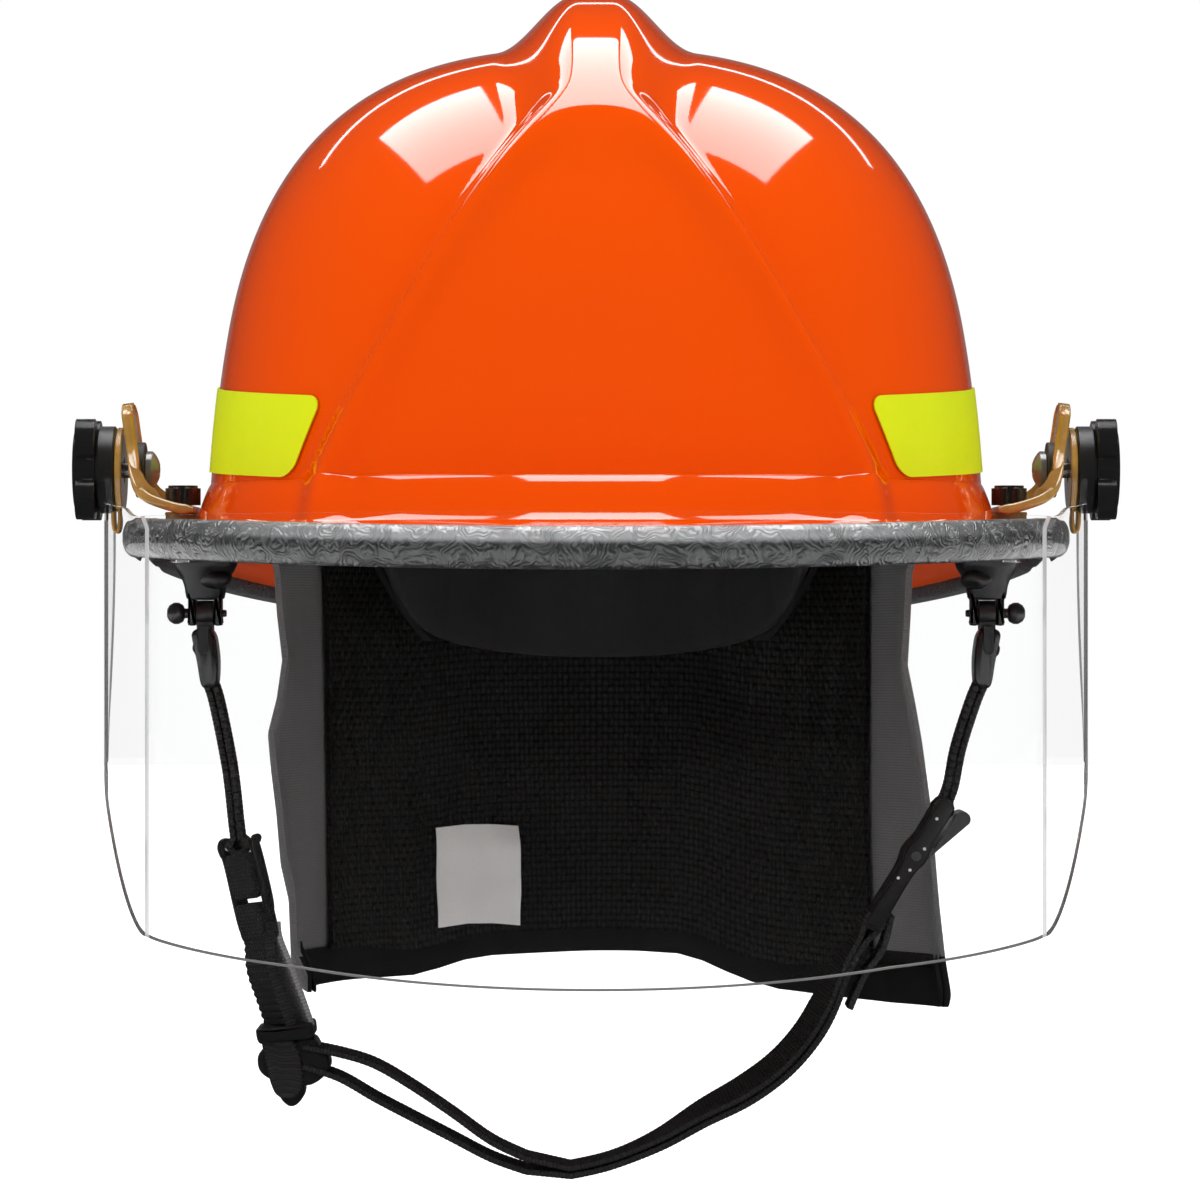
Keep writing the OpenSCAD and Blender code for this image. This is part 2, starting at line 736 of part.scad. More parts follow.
module pivot_washers() {
    color("black")
        both_sides()
            difference() {
                across(washer_x, washer_x + washer_t, 17);
                across(washer_x - 1, washer_x + washer_t + 1, pivot_d + 2 * run_gap);
            }
}

// Amber bracket: a flange on the brim and an upright ear that carries the pivot
flange_t = 3;
boss_d = 11;
flange_x = half_w + 5.5;
flange_z = trim_h / 2 + 0.8;
flange_y0 = pivot_y - 32;
flange_y1 = pivot_y + 15;

module bracket() {
    color("darkgoldenrod")
        difference() {
            union() {
                translate([flange_x, flange_y0, flange_z])
                    cube([ear_x + ear_t - flange_x, flange_y1 - flange_y0, flange_t]);
                intersection() {
                    translate([bracket_screw_x, bracket_screw_y, 0])
                        cylinder(d = boss_d, h = flange_z + 0.1);
                    translate([0, bracket_screw_y, 0])
                        rotate([90, 0, 0])
                            linear_extrude(boss_d, center = true)
                                polygon(concat([for (x = [-1 : 0.2 : 1])
                                    let (px = bracket_screw_x + x * boss_d / 2) [px, side_top(px - 0.7) + 0.4]],
                                    [[edge_w, flange_z + 1], [half_w, flange_z + 1]]));
                }
                intersection() {
                    translate([ear_x, flange_y0, flange_z])
                        cube([ear_t, flange_y1 - flange_y0, pivot_z + 17 - flange_z]);
                    union() {
                        across(ear_x - 1, ear_x + ear_t + 1, 33);
                        rotate([90, 0, 90])
                            translate([0, 0, ear_x - 1])
                                linear_extrude(ear_t + 2)
                                    polygon([[flange_y0, flange_z], [flange_y0, flange_z + 6],
                                        [pivot_y - 14, pivot_z + 8], [pivot_y + 16.5, pivot_z], [pivot_y + 16.5, flange_z]]);
                    }
                }
                for (y = [flange_y0 + 3, flange_y1 - 5])
                    translate([ear_x - 6, y, flange_z + flange_t])
                        rotate([90, 0, 0])
                            linear_extrude(2.4, center = true)
                                polygon([[0, -0.1], [6.1, -0.1], [6.1, 5], [5, 5]]);
            }
            translate([bracket_screw_x, bracket_screw_y, -8])
                cylinder(d = screw_hole, h = 40);
            across(ear_x - 8, ear_x + ear_t + 1, pivot_d + 2 * run_gap);
        }
}

module bracket_left() {
    one_side(-1)
        bracket();
}

module bracket_right() {
    one_side(1)
        bracket();
}

// Black screws with a six-lobed head
nut_z = side_top(bracket_screw_x) - 9;
module bracket_screws() {
    color("black")
        both_sides()
            translate([bracket_screw_x, bracket_screw_y, flange_z + flange_t + seat]) {
                difference() {
                    union() {
                        cylinder(d = 9, h = 6);
                        for (i = [0 : 5])
                            rotate(60 * i)
                                translate([3.7, 0, 0])
                                    cylinder(d = 3.4, h = 5.2);
                    }
                    translate([0, 0, 4])
                        cylinder(d = 4, h = 3, $fn = 6);
                }
                translate([0, 0, nut_z - flange_z - flange_t])
                    cylinder(d = screw_d, h = flange_z + flange_t - nut_z + 0.1);
            }
}

// Strap hanger: a plate clamped below the brim, a flared cup, and a clevis whose pin lies along X
hanger_x = half_w + 4;
hanger_end = edge_w - brim_flat - 1.5;
hanger_top = side_top(hanger_end) - shell_wall - 0.5;
hanger_plate = 2.5;
cup_h = 13;
cup_r = 9.5;
hang_z = hanger_top - hanger_plate - cup_h - 6;
hang_y = 0;
pin_d = 4;
eye_t = 5;
clevis_t = 2.4;
module hanger() {
    low = hanger_top - hanger_plate;
    color("black")
        difference() {
            union() {
                translate([half_w - 8, bracket_screw_y - 7, low])
                    cube([hanger_end - half_w + 8, hang_y - bracket_screw_y + 15, hanger_plate]);
                translate([hanger_x, hang_y, low - cup_h])
                    rotate_extrude()
                        polygon([[0, 3], [cup_r, 0], [cup_r, 5], [6, 8], [5, cup_h + 0.1], [0, cup_h + 0.1]]);
                for (e = [-1, 1])
                    translate([hanger_x + e * (eye_t + clevis_t + 2 * run_gap) / 2, hang_y, 0]) {
                        across(-clevis_t / 2, clevis_t / 2, pin_d + 4, 0, hang_z);
                        translate([-clevis_t / 2, -(pin_d + 4) / 2, hang_z])
                            cube([clevis_t, pin_d + 4, low - cup_h + 3 - hang_z]);
                    }
            }
            translate([bracket_screw_x, bracket_screw_y, -20])
                cylinder(d = screw_hole, h = 40);
            across(hanger_x - 15, hanger_x + 15, pin_d + 2 * seat, hang_y, hang_z);
        }
}

module hanger_left() {
    one_side(-1)
        hanger();
}

module hanger_right() {
    one_side(1)
        hanger();
}

module bracket_nuts() {
    low = hanger_top - hanger_plate - seat;
    color("dimgray")
        both_sides()
            translate([bracket_screw_x, bracket_screw_y, low - 3.4])
                difference() {
                    cylinder(d = 8, h = 3.4, $fn = 6);
                    translate([0, 0, -1])
                        cylinder(d = screw_d + 2 * seat, h = 6);
                }
}

module hanger_pins() {
    half = eye_t / 2 + clevis_t + run_gap;
    color("silver")
        both_sides() {
            across(hanger_x - half - 0.5, hanger_x + half + 0.5, pin_d, hang_y, hang_z);
            for (e = [-1, 1])
                across(hanger_x + e * (half + 1) - 0.8, hanger_x + e * (half + 1) + 0.8, pin_d + 2, hang_y, hang_z);
        }
}

// Chin strap. Its runs lie in the plane through both hangers, as routes of x and z
function spline(p, n) = concat([for (i = [0 : len(p) - 2]) for (s = [0 : n - 1])
    let (t = s / n, a = p[max(0, i - 1)], b = p[i], c = p[i + 1], d = p[min(len(p) - 1, i + 2)])
    0.5 * (2 * b + (c - a) * t + (2 * a - 5 * b + 4 * c - d) * t * t
        + (3 * b - 3 * c + d - a) * t * t * t)], [p[len(p) - 1]]);
function side_of(p, i) =
    let (d = p[min(len(p) - 1, i + 1)] - p[max(0, i - 1)]) [-d[1], d[0]] / norm(d);
module web(route, t, w = web_w, n = 5) {
    p = spline(route, n);
    translate([0, hang_y, 0])
        rotate([90, 0, 0])
            linear_extrude(w, center = true)
                polygon(concat([for (i = [0 : len(p) - 1]) p[i] + side_of(p, i) * t / 2],
                    [for (i = [len(p) - 1 : -1 : 0]) p[i] - side_of(p, i) * t / 2]));
}
module bar_at(p, d, w) {
    translate([p[0], hang_y, p[1]])
        rotate([90, 0, 0])
            cylinder(d = d, h = w, center = true);
}
// Webbing turned round a bar
module web_loop(p, bar, w = web_w) {
    difference() {
        bar_at(p, bar + 2 * seat + 2 * web_t, w);
        bar_at(p, bar + 2 * seat, w + 2);
    }
}

ply = 2 * web_t;
strap_bar = 3;
loop_r = strap_bar / 2 + seat + web_t;
hang_loop_w = web_w - 6;
clip_drop = 11;
left_bar = [-hanger_x, hang_z - clip_drop];
right_bar = [hanger_x, hang_z - clip_drop];
slide_top = [-109.5, -94];
slide_mid = [-107.6, -107];
slide_low = [-105.6, -120];
keeper_at = [-96, -153];

// Clips: an eye on each hanger's pin and a square loop whose lower bar holds the webbing
module strap_clips() {
    beam = 3;
    color("black")
        both_sides() {
            difference() {
                union() {
                    across(hanger_x - eye_t / 2, hanger_x + eye_t / 2, pin_d + 4, hang_y, hang_z);
                    translate([hanger_x - eye_t / 2, hang_y - 3, hang_z - clip_drop / 2 - 1])
                        cube([eye_t, 6, clip_drop / 2]);
                    translate([hanger_x - beam / 2, hang_y - web_w / 2, hang_z - clip_drop / 2 - beam / 2])
                        cube([beam, web_w, beam]);
                    for (e = [-1, 1])
                        translate([hanger_x - beam / 2, hang_y + e * (web_w - 2.4) / 2 - 1.2, hang_z - clip_drop])
                            cube([beam, 2.4, clip_drop / 2 + beam / 2]);
                    bar_at(right_bar, strap_bar, web_w);
                }
                across(hanger_x - 15, hanger_x + 15, pin_d + 2 * run_gap, hang_y, hang_z);
            }
        }
}

// The lower left run of the strap is turned so that its face shows from the front
face_turn = 15;
module turned() {
    d = keeper_at - slide_top;
    translate([slide_top[0], hang_y, slide_top[1]])
        rotate(face_turn, [-d[0], 0, -d[1]])
            translate([-slide_top[0], -hang_y, -slide_top[1]])
                children();
}

module strap_web_left() {
    color("black")
        difference() {
            union() {
                web([left_bar + [0.4, -3.4], [-116.5, -50], [-112.5, -70], slide_top + [-0.6, 3.4]], ply, hang_loop_w);
                web_loop(left_bar, strap_bar, hang_loop_w);
                turned()
                    web_loop(slide_top, strap_bar, hang_loop_w);
            }
            bar_at(left_bar, strap_bar + 2 * seat, web_w);
            turned()
                bar_at(slide_top, strap_bar + 2 * seat, 2 * web_w);
        }
}

// Outline of a rail with round ends
function rail_outline(a, b, r) =
    let (t = atan2(b[1] - a[1], b[0] - a[0]))
    concat(corner(b[0], b[1], r, t - 90, t + 90, 10), corner(a[0], a[1], r, t + 90, t + 270, 10));
// Ladder slide: three bars between two side rails
module strap_slide() {
    color("black")
        turned() {
            for (p = [slide_top, slide_mid, slide_low])
                bar_at(p, strap_bar, web_w + 2);
            for (e = [-1, 1])
                translate([0, hang_y + e * (web_w / 2 + 2.4), 0])
                    rotate([90, 0, 0])
                        linear_extrude(2.8, center = true)
                            polygon(rail_outline(slide_top, slide_low, 3));
        }
}

module strap_web_ribbed() {
    color("black")
        turned()
            difference() {
                union() {
                    web([slide_low + [0.8, -3.4], [-102, -136], keeper_at + [-1.2, 5.9]], ply);
                    web_loop(slide_low, strap_bar);
                }
                bar_at(slide_low, strap_bar + 2 * seat, 2 * web_w);
            }
}

// Loose ends of the webbing on both sides
module strap_tail() {
    color("gray") {
        turned()
            web([slide_low + [loop_r + seat + web_t / 2, 1], [-96.5, -131], [-93.2, -141],
                [-90.6, -147.6]], web_t);
        web([buckle_low + [loop_r + seat + web_t / 2 + 0.5, 1], buckle_low + [2.6, -8], [82, -134], [77.5, -144]],
            web_t, web_w - 2);
    }
}

// Keeper: the moulded block where the ribbed web divides into the two chin webs
module strap_keeper() {
    color("black") {
        translate([keeper_at[0], hang_y, keeper_at[1] - 7])
            rotate([90, 0, 0])
                linear_extrude(web_w + 4, center = true)
                    difference() {
                        polygon([[-6.5, 11.5], [5.5, 11.5], [6, 8], [6, -3], [9, -8], [6, -12], [0, -12.5], [-5, -10],
                            [-7, -3]]);
                        translate([-1.5, 0])
                            circle(d = 5);
                    }
    }
}

chin_split = [keeper_at[0] + 6.3, -158.5];
// Buckle: its lever's pin, and the direction from its lower bar to its upper bar
lever_pin = [97.5, -97];
buckle_dir = [0.524, 0.852];
low_reach = 24;
high_reach = 17;
buckle_low = lever_pin - buckle_dir * low_reach;
buckle_high = lever_pin + buckle_dir * high_reach;
module strap_web_chin() {
    color("black") {
        web([chin_split + [0, 3], [-78.6, -157.7], [-68, -161], [-56.8, -167.4], [-44, -176], [-31.9, -184.6],
            [-20, -190.2], [-9, -192.8]], web_t);
        web([chin_split + [0, -3], [-78.6, -165.1], [-67.5, -171.4], [-56.8, -177], [-44, -183.6], [-31.9, -189.8],
            [-20, -194], [-9, -195.4]], web_t);
        difference() {
            union() {
                web([[-9.2, -194.1], [4.6, -190.9], [19, -184.8], [32.8, -176.5], [45.4, -169.7], [56, -162],
                    [64.2, -153], [70.3, -143], [75.6, -132], buckle_low - buckle_dir * 3.4], ply);
                web_loop(buckle_low, strap_bar);
            }
            bar_at(buckle_low, strap_bar + 2 * seat, 2 * web_w);
        }
    }
}

// Buckle: a frame with two bars, and a lever with a thumb tab that turns on a pin between its rails
module buckle_place() {
    translate([lever_pin[0], hang_y, lever_pin[1]])
        rotate([0, atan2(buckle_dir[0], buckle_dir[1]), 0])
            children();
}

rail_t = 3;
rail_y = web_w / 2 + 0.8 + rail_t / 2;
lever_d = 3;
module buckle_frame() {
    color("black")
        buckle_place() {
            for (e = [-1, 1])
                translate([0, e * rail_y, 0])
                    rotate([90, 0, 0])
                        linear_extrude(rail_t, center = true)
                            difference() {
                                polygon(rail_outline([0, high_reach], [0, -low_reach], 3.6));
                                circle(d = lever_d + 2 * run_gap);
                            }
            for (z = [-low_reach, high_reach])
                translate([0, 0, z])
                    rotate([90, 0, 0])
                        cylinder(d = strap_bar, h = 2 * rail_y, center = true);
        }
}

module buckle_lever() {
    color("dimgray")
        buckle_place() {
            rotate([90, 0, 0])
                cylinder(d = lever_d, h = 2 * rail_y + rail_t, center = true);
            rotate([90, 0, 0])
                linear_extrude(web_w, center = true)
                    polygon(concat([[-1.5, 3], [-1.5, -3], [2, -4.5]], corner(6.6, 17, 2.4, 0, 180, 8), [[4.2, 5], [2, 3]]));
        }
}

module strap_web_right() {
    color("black")
        difference() {
            union() {
                web([buckle_high + [1.2, 3.2], [111.3, -64], [115.8, -50], right_bar + [-0.4, -3.4]], ply,
                    hang_loop_w);
                web_loop(right_bar, strap_bar, hang_loop_w);
                web_loop(buckle_high, strap_bar, hang_loop_w);
            }
            bar_at(right_bar, strap_bar + 2 * seat, web_w);
            bar_at(buckle_high, strap_bar + 2 * seat, web_w);
        }
}

// Rear hanging ring in a folded clip below the brim
clip_t = 2;
clip_w = 30;
barrel_in = ring_d + 2 * run_gap;
module ring_frame() {
    translate([0, ring_bracket_y, ring_low])
        rotate([ring_tilt, 0, 0])
            children();
}
ring_axis_z = -clip_t - barrel_in / 2;

module ring_bracket() {
    color("black")
        ring_frame()
            difference() {
                union() {
                    translate([-clip_w / 2, -ring_screw_back - 5, -clip_t])
                        cube([clip_w, ring_screw_back + 9, clip_t]);
                    translate([0, 0, ring_axis_z])
                        rotate([0, 90, 0])
                            cylinder(d = barrel_in + 2 * clip_t, h = 14, center = true);
                }
                translate([0, 0, ring_axis_z])
                    rotate([0, 90, 0])
                        cylinder(d = barrel_in, h = 20, center = true);
                for (x = [-ring_screw_x, ring_screw_x])
                    translate([x, -ring_screw_back, -6])
                        cylinder(d = screw_hole, h = 12);
            }
}

module ring_screws() {
    top = brim_over_clip(-ring_screw_back) + 0.3;
    color("silver")
        ring_frame()
            for (x = [-ring_screw_x, ring_screw_x])
                translate([x, -ring_screw_back, 0])
                    difference() {
                        union() {
                            translate([0, 0, top])
                                rotate_extrude()
                                    polygon([[0, 0], [4.2, 0], [4, 1], [2.8, 2], [0, 2.4]]);
                            translate([0, 0, -clip_t - 1])
                                cylinder(d = screw_d, h = clip_t + 1.5 + top);
                        }
                        translate([0, 0, top + 1.4])
                            cylinder(d = 2.5, h = 2, $fn = 6);
                    }
}

module hanging_ring() {
    half = ring_in / 2 + ring_d / 2;
    drop = 14;
    axis = [0, ring_bracket_y + ring_axis_z * sin(-ring_tilt), ring_low + ring_axis_z * cos(ring_tilt)];
    color("silver")
        translate(axis) {
            rotate([0, 90, 0])
                cylinder(d = ring_d, h = 2 * half, center = true);
            for (e = [-1, 1]) {
                translate([e * half, 0, 0])
                    sphere(d = ring_d);
                translate([e * half, 0, -drop])
                    cylinder(d = ring_d, h = drop);
            }
            translate([0, 0, -drop])
                rotate([-90, 0, 0])
                    rotate_extrude(angle = 180)
                        translate([half, 0])
                            circle(d = ring_d);
        }
}

shell();
edge_trim();
reflective_tapes();
impact_cap();
suspension_keys();
crown_straps();
crown_pad();
headband();
brow_pad();
nape_pad();
ratchet_housing();
ratchet_knob();
neck_cape();
cape_lining();
cape_tag();
bracket_left();
bracket_right();
bracket_screws();
bracket_nuts();
pivot_screws();
pivot_washers();
knob_left();
knob_right();
lens();
shield_plates();
shield_collars();
hanger_left();
hanger_right();
hanger_pins();
strap_clips();
strap_web_left();
strap_slide();
strap_web_ribbed();
strap_tail();
strap_keeper();
strap_web_chin();
buckle_frame();
buckle_lever();
strap_web_right();
ring_bracket();
ring_screws();
hanging_ring();
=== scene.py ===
"""Fire helmet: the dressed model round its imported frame.

Shapes are worked out in millimetres and put into the meshes in metres. The front is -Y.
"""

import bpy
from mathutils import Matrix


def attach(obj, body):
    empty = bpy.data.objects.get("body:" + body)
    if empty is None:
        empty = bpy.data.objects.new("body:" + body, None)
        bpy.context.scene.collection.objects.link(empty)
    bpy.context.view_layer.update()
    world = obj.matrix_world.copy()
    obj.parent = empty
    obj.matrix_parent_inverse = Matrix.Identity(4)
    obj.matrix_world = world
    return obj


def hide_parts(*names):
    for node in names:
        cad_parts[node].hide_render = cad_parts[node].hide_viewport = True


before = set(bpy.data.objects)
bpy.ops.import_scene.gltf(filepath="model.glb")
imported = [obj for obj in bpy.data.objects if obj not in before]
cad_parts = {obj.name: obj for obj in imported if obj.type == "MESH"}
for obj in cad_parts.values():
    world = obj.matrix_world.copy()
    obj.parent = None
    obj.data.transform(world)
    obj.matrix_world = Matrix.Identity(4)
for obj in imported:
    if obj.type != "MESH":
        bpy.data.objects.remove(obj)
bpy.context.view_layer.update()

import logging
import math
from dataclasses import dataclass, replace
from enum import Enum, IntEnum

import bmesh
import bpy
import numpy as np
from mathutils import Matrix, Vector

log = logging.getLogger("helmet")
MM = 0.001
PHOTO_SIDE = 1200
MM_PER_PX = 0.307
CAMERA_FAR = 1600.0
PIVOT_Y = 3.0
PIVOT_Z = 21.0
Array = np.ndarray
Object = bpy.types.Object
Socket = bpy.types.NodeSocket
X_AXIS = np.array([1.0, 0.0, 0.0])
Y_AXIS = np.array([0.0, 1.0, 0.0])
Z_AXIS = np.array([0.0, 0.0, 1.0])


class Body(Enum):
    """Bodies of the frame that pieces ride on."""

    HELMET = "helmet"
    SHIELD = "face_shield"
    LEFT_KNOB = "left_knob"
    RIGHT_KNOB = "right_knob"
    SIZE_KNOB = "size_knob"
    STRAP = "chin_strap"
    LEVER = "lever"
    RING = "ring"


# Numbers and lines


def mix(a: Array | float, b: Array | float, u: Array | float) -> Array | float:
    """The value a share u of the way from a to b."""
    return a + (b - a) * u


def smooth(v: Array | float) -> Array:
    """Smooth step from 0 to 1."""
    u = np.clip(v, 0.0, 1.0)
    return u * u * (3 - 2 * u)


def spow(v: Array | float, e: Array | float) -> Array:
    """Power of v's size that keeps its sign."""
    return np.sign(v) * np.abs(v) ** e


def eased(n: int) -> Array:
    """n values from 0 to 1 that lie closer together near both ends."""
    return (1 - np.cos(np.linspace(0, np.pi, n))) / 2


def merged(*parts: Array | float) -> Array:
    """Points from their coordinates, each spread to the common shape."""
    return np.stack(np.broadcast_arrays(*parts), axis=-1)


def unit(v: Array) -> Array:
    """Vectors in the last direction of an array, brought to length 1."""
    return v / np.linalg.norm(v, axis=-1, keepdims=True)


def upright(line: Array, y: float = 0.0) -> Array:
    """Points of x and z put into the plane at y."""
    return merged(line[..., 0], y, line[..., 1])


def catmull(points: Array, per_span: int, closed: bool = False) -> Array:
    """Curve through points: each span is a cubic whose end slopes are half the chords past it.

    Args:
        points: rows of coordinates.
        per_span: points worked out in each span.
        closed: whether the last point is followed by the first.

    Returns:
        Rows of coordinates on the curve.
    """
    p = np.asarray(points, float)
    n = len(p)
    idx = np.arange(n if closed else n - 1)
    wrap = (lambda i: i % n) if closed else (lambda i: np.clip(i, 0, n - 1))
    a, b, c, d = (p[wrap(idx + k)][:, None, :] for k in (-1, 0, 1, 2))
    t = (np.arange(per_span) / per_span)[None, :, None]
    bend, twist = 2 * a - 5 * b + 4 * c - d, 3 * b - 3 * c + d - a
    curve = 0.5 * (2 * b + (c - a) * t + bend * t**2 + twist * t**3)
    curve = curve.reshape(-1, p.shape[1])
    return curve if closed else np.vstack([curve, p[-1]])


def evenly(points: Array, step: float, closed: bool = False) -> Array:
    """Points at even distances along a line.

    Args:
        points: rows of coordinates along the line.
        step: wanted distance between neighbours.
        closed: whether the line returns to its start.

    Returns:
        The new points.
    """
    p = np.vstack([points, points[:1]]) if closed else points
    run = np.concatenate([[0], np.cumsum(np.linalg.norm(np.diff(p, axis=0), axis=1))])
    n = max(4, int(round(run[-1] / step)) + 1)
    at = np.linspace(0, run[-1], n, endpoint=not closed)
    return np.stack([np.interp(at, run, p[:, k]) for k in range(p.shape[1])], axis=1)


def along(points: Array, closed: bool = False) -> Array:
    """Unit direction of a line at each of its points.

    Args:
        points: rows of coordinates along the line.
        closed: whether the line returns to its start.

    Returns:
        Rows of unit vectors.
    """
    if closed:
        return unit(np.roll(points, -1, axis=0) - np.roll(points, 1, axis=0))
    return unit(np.gradient(points, axis=0))


def left_of(line: Array, closed: bool = False) -> Array:
    """Unit direction to the left of a flat line at each of its points."""
    d = along(line, closed)
    return np.stack([-d[:, 1], d[:, 0]], axis=1)


# Meshes


def cells(rows: int, cols: int, wrap_rows: bool = False, wrap_cols: bool = False, start: int = 0) -> Array:
    """Four-cornered faces of a grid of points, row by row.

    Args:
        rows: number of rows of points.
        cols: number of points in a row.
        wrap_rows: whether the last row is joined to the first.
        wrap_cols: whether the last point of a row is joined to its first.
        start: number of the grid's first point.

    Returns:
        Rows of four point numbers.
    """
    r = np.arange(rows if wrap_rows else rows - 1)[:, None]
    c = np.arange(cols if wrap_cols else cols - 1)[None, :]
    r1, c1 = (r + 1) % rows, (c + 1) % cols
    quads = merged(r * cols + c, r * cols + c1, r1 * cols + c1, r1 * cols + c)
    return quads.reshape(-1, 4) + start


@dataclass
class Skin:
    """A mesh in the making: its points in mm, faces and, for a pattern that follows it, a map in mm."""

    points: Array
    faces: list[Array]
    chart: Array | None = None

    def place(self, name: str, crease: float = 45.0) -> Object:
        """Puts the mesh into the scene with outward normals, smooth up to the crease angle.

        Args:
            name: name of the piece.
            crease: angle in degrees from which an edge stays sharp.

        Returns:
            The new object, at the origin.
        """
        data = bpy.data.meshes.new(name)
        faces = [f for block in self.faces for f in np.asarray(block).tolist()]
        data.from_pydata((self.points * MM).tolist(), [], faces)
        if self.chart is not None:
            loops = np.empty(len(data.loops), np.int32)
            data.loops.foreach_get("vertex_index", loops)
            layer = data.uv_layers.new(name="chart")
            layer.data.foreach_set("uv", (self.chart[loops] * MM).astype(np.float32).ravel())
        work = bmesh.new()
        work.from_mesh(data)
        bmesh.ops.recalc_face_normals(work, faces=work.faces)
        work.to_mesh(data)
        work.free()
        return shown(name, data, crease)


def shown(name: str, data: bpy.types.Mesh, crease: float) -> Object:
    """An object of a mesh, linked into the scene and smooth up to the crease angle.

    Args:
        name: name of the piece.
        data: its mesh.
        crease: angle in degrees from which an edge stays sharp.

    Returns:
        The new object.
    """
    data.polygons.foreach_set("use_smooth", np.ones(len(data.polygons), bool))
    data.set_sharp_from_angle(angle=math.radians(crease))
    obj = bpy.data.objects.new(name, data)
    bpy.context.collection.objects.link(obj)
    return obj


def joined(*skins: Skin) -> Skin:
    """Several meshes as one.

    Args:
        skins: the meshes; the map is kept where all of them have one.

    Returns:
        The joined mesh.
    """
    starts = np.cumsum([0] + [len(s.points) for s in skins])
    faces = [np.asarray(f) + a for s, a in zip(skins, starts) for f in s.faces]
    chart = None if any(s.chart is None for s in skins) else np.vstack([s.chart for s in skins])
    return Skin(np.vstack([s.points for s in skins]), faces, chart)


def slab(outer: Array, inner: Array, chart: Array | None = None) -> Skin:
    """Closed sheet between two grids of points that face each other.

    Args:
        outer: grid of points, rows by columns by 3.
        inner: grid of the same size on the other side.
        chart: grid of map coordinates, or nothing.

    Returns:
        The closed mesh.
    """
    rows, cols = outer.shape[:2]
    n = rows * cols
    number = np.arange(n).reshape(rows, cols)
    rim = np.concatenate([number[0, :-1], number[:-1, -1], number[-1, :0:-1], number[:0:-1, 0]])
    nxt = np.roll(rim, -1)
    faces = [cells(rows, cols), cells(rows, cols, start=n)[:, ::-1], merged(rim, nxt, nxt + n, rim + n)]
    flat = None if chart is None else np.vstack([chart.reshape(-1, 2)] * 2)
    return Skin(np.vstack([outer.reshape(-1, 3), inner.reshape(-1, 3)]), faces, flat)


def tube(rings: Array, closed: bool = False, chart: Array | None = None) -> Skin:
    """Closed mesh through rings of points, capped at its ends unless it returns to its start.

    Args:
        rings: rings by points by 3.
        closed: whether the last ring is joined to the first.
        chart: grid of map coordinates, or nothing.

    Returns:
        The closed mesh.
    """
    n, m = rings.shape[:2]
    faces = [cells(n, m, wrap_rows=closed, wrap_cols=True)]
    if not closed:
        faces += [np.arange(m)[None, ::-1], (np.arange(m) + (n - 1) * m)[None, :]]
    return Skin(rings.reshape(-1, 3), faces, None if chart is None else chart.reshape(-1, 2))


def domed(rings: Array, poles: Array) -> Skin:
    """Closed mesh through rings of points, whose first and last ring each run together in a pole.

    Args:
        rings: rings by points by 3.
        poles: the point before the first ring and the one after the last.

    Returns:
        The closed mesh.
    """
    n, m = rings.shape[:2]
    first, last = np.arange(m), np.arange(m) + (n - 1) * m
    fans = [merged(np.roll(first, -1), first, n * m), merged(last, np.roll(last, -1), n * m + 1)]
    return Skin(np.vstack([rings.reshape(-1, 3), poles]), [cells(n, m, wrap_cols=True), *fans])


def across(axis: Array) -> tuple[Array, Array, Array]:
    """Two unit directions across an axis, and the axis's own.

    Args:
        axis: direction of any length.

    Returns:
        Two directions at right angles to the axis and each other, and the axis's.
    """
    w = unit(np.asarray(axis, float))
    u = unit(np.cross(w, Y_AXIS if abs(w[1]) < 0.9 else X_AXIS))
    return u, np.cross(w, u), w


def spun(profile: Array, n: int, at: Array, axis: Array) -> Skin:
    """Solid of revolution: each profile point (radius, height) goes round an axis.

    Args:
        profile: rows of radius and height; the first and last lie on the axis.
        n: points round the axis.
        at: point where the height is 0.
        axis: direction of growing height.

    Returns:
        The closed mesh.
    """
    profile = np.asarray(profile, float)
    u, v, w = across(axis)
    a = np.linspace(0, 2 * np.pi, n, endpoint=False)[None, :, None]
    mid = profile[1:-1]
    rings = (np.cos(a) * u + np.sin(a) * v) * mid[:, None, :1] + w * mid[:, None, 1:] + at
    return domed(rings, np.outer(profile[[0, -1], 1], w) + at)


def hoop(section: Array, n: int, at: Array, axis: Array) -> Skin:
    """Ring of revolution: a closed section of radius and height goes round an axis.

    Args:
        section: rows of radius and height.
        n: points round the axis.
        at: point where the height is 0.
        axis: direction of growing height.

    Returns:
        The closed mesh.
    """
    section = np.asarray(section, float)
    u, v, w = across(axis)
    a = np.linspace(0, 2 * np.pi, n, endpoint=False)[:, None, None]
    return tube((np.cos(a) * u + np.sin(a) * v) * section[:, :1] + w * section[:, 1:] + at, True)


def pebble(outline: Array, depth: float, y: float = 0.0, edge: float = 1.2, span: int = 5) -> Skin:
    """Solid with a smooth outline in the XZ plane and rounded edges.

    Args:
        outline: points of x and z; a smooth closed curve is laid through them.
        depth: size along Y.
        y: middle along Y.
        edge: radius of the rounded edges.
        span: points between two points of the outline.

    Returns:
        The closed mesh.
    """
    line = catmull(outline, span, True)
    area = np.sum(line[:, 0] * np.roll(line[:, 1], -1) - np.roll(line[:, 0], -1) * line[:, 1])
    a = np.radians(np.linspace(0, 90, 5))
    inset = edge * np.concatenate([1 - np.sin(a), 1 - np.sin(a)[::-1]])[:, None, None]
    rounding = depth / 2 - edge * (1 - np.cos(a))
    steps = np.concatenate([-rounding, rounding[::-1]])[:, None]
    ring = line + left_of(line, True) * np.sign(area) * inset
    return tube(merged(ring[..., 0], y + steps, ring[..., 1]), chart=merged(line[:, 1], steps))


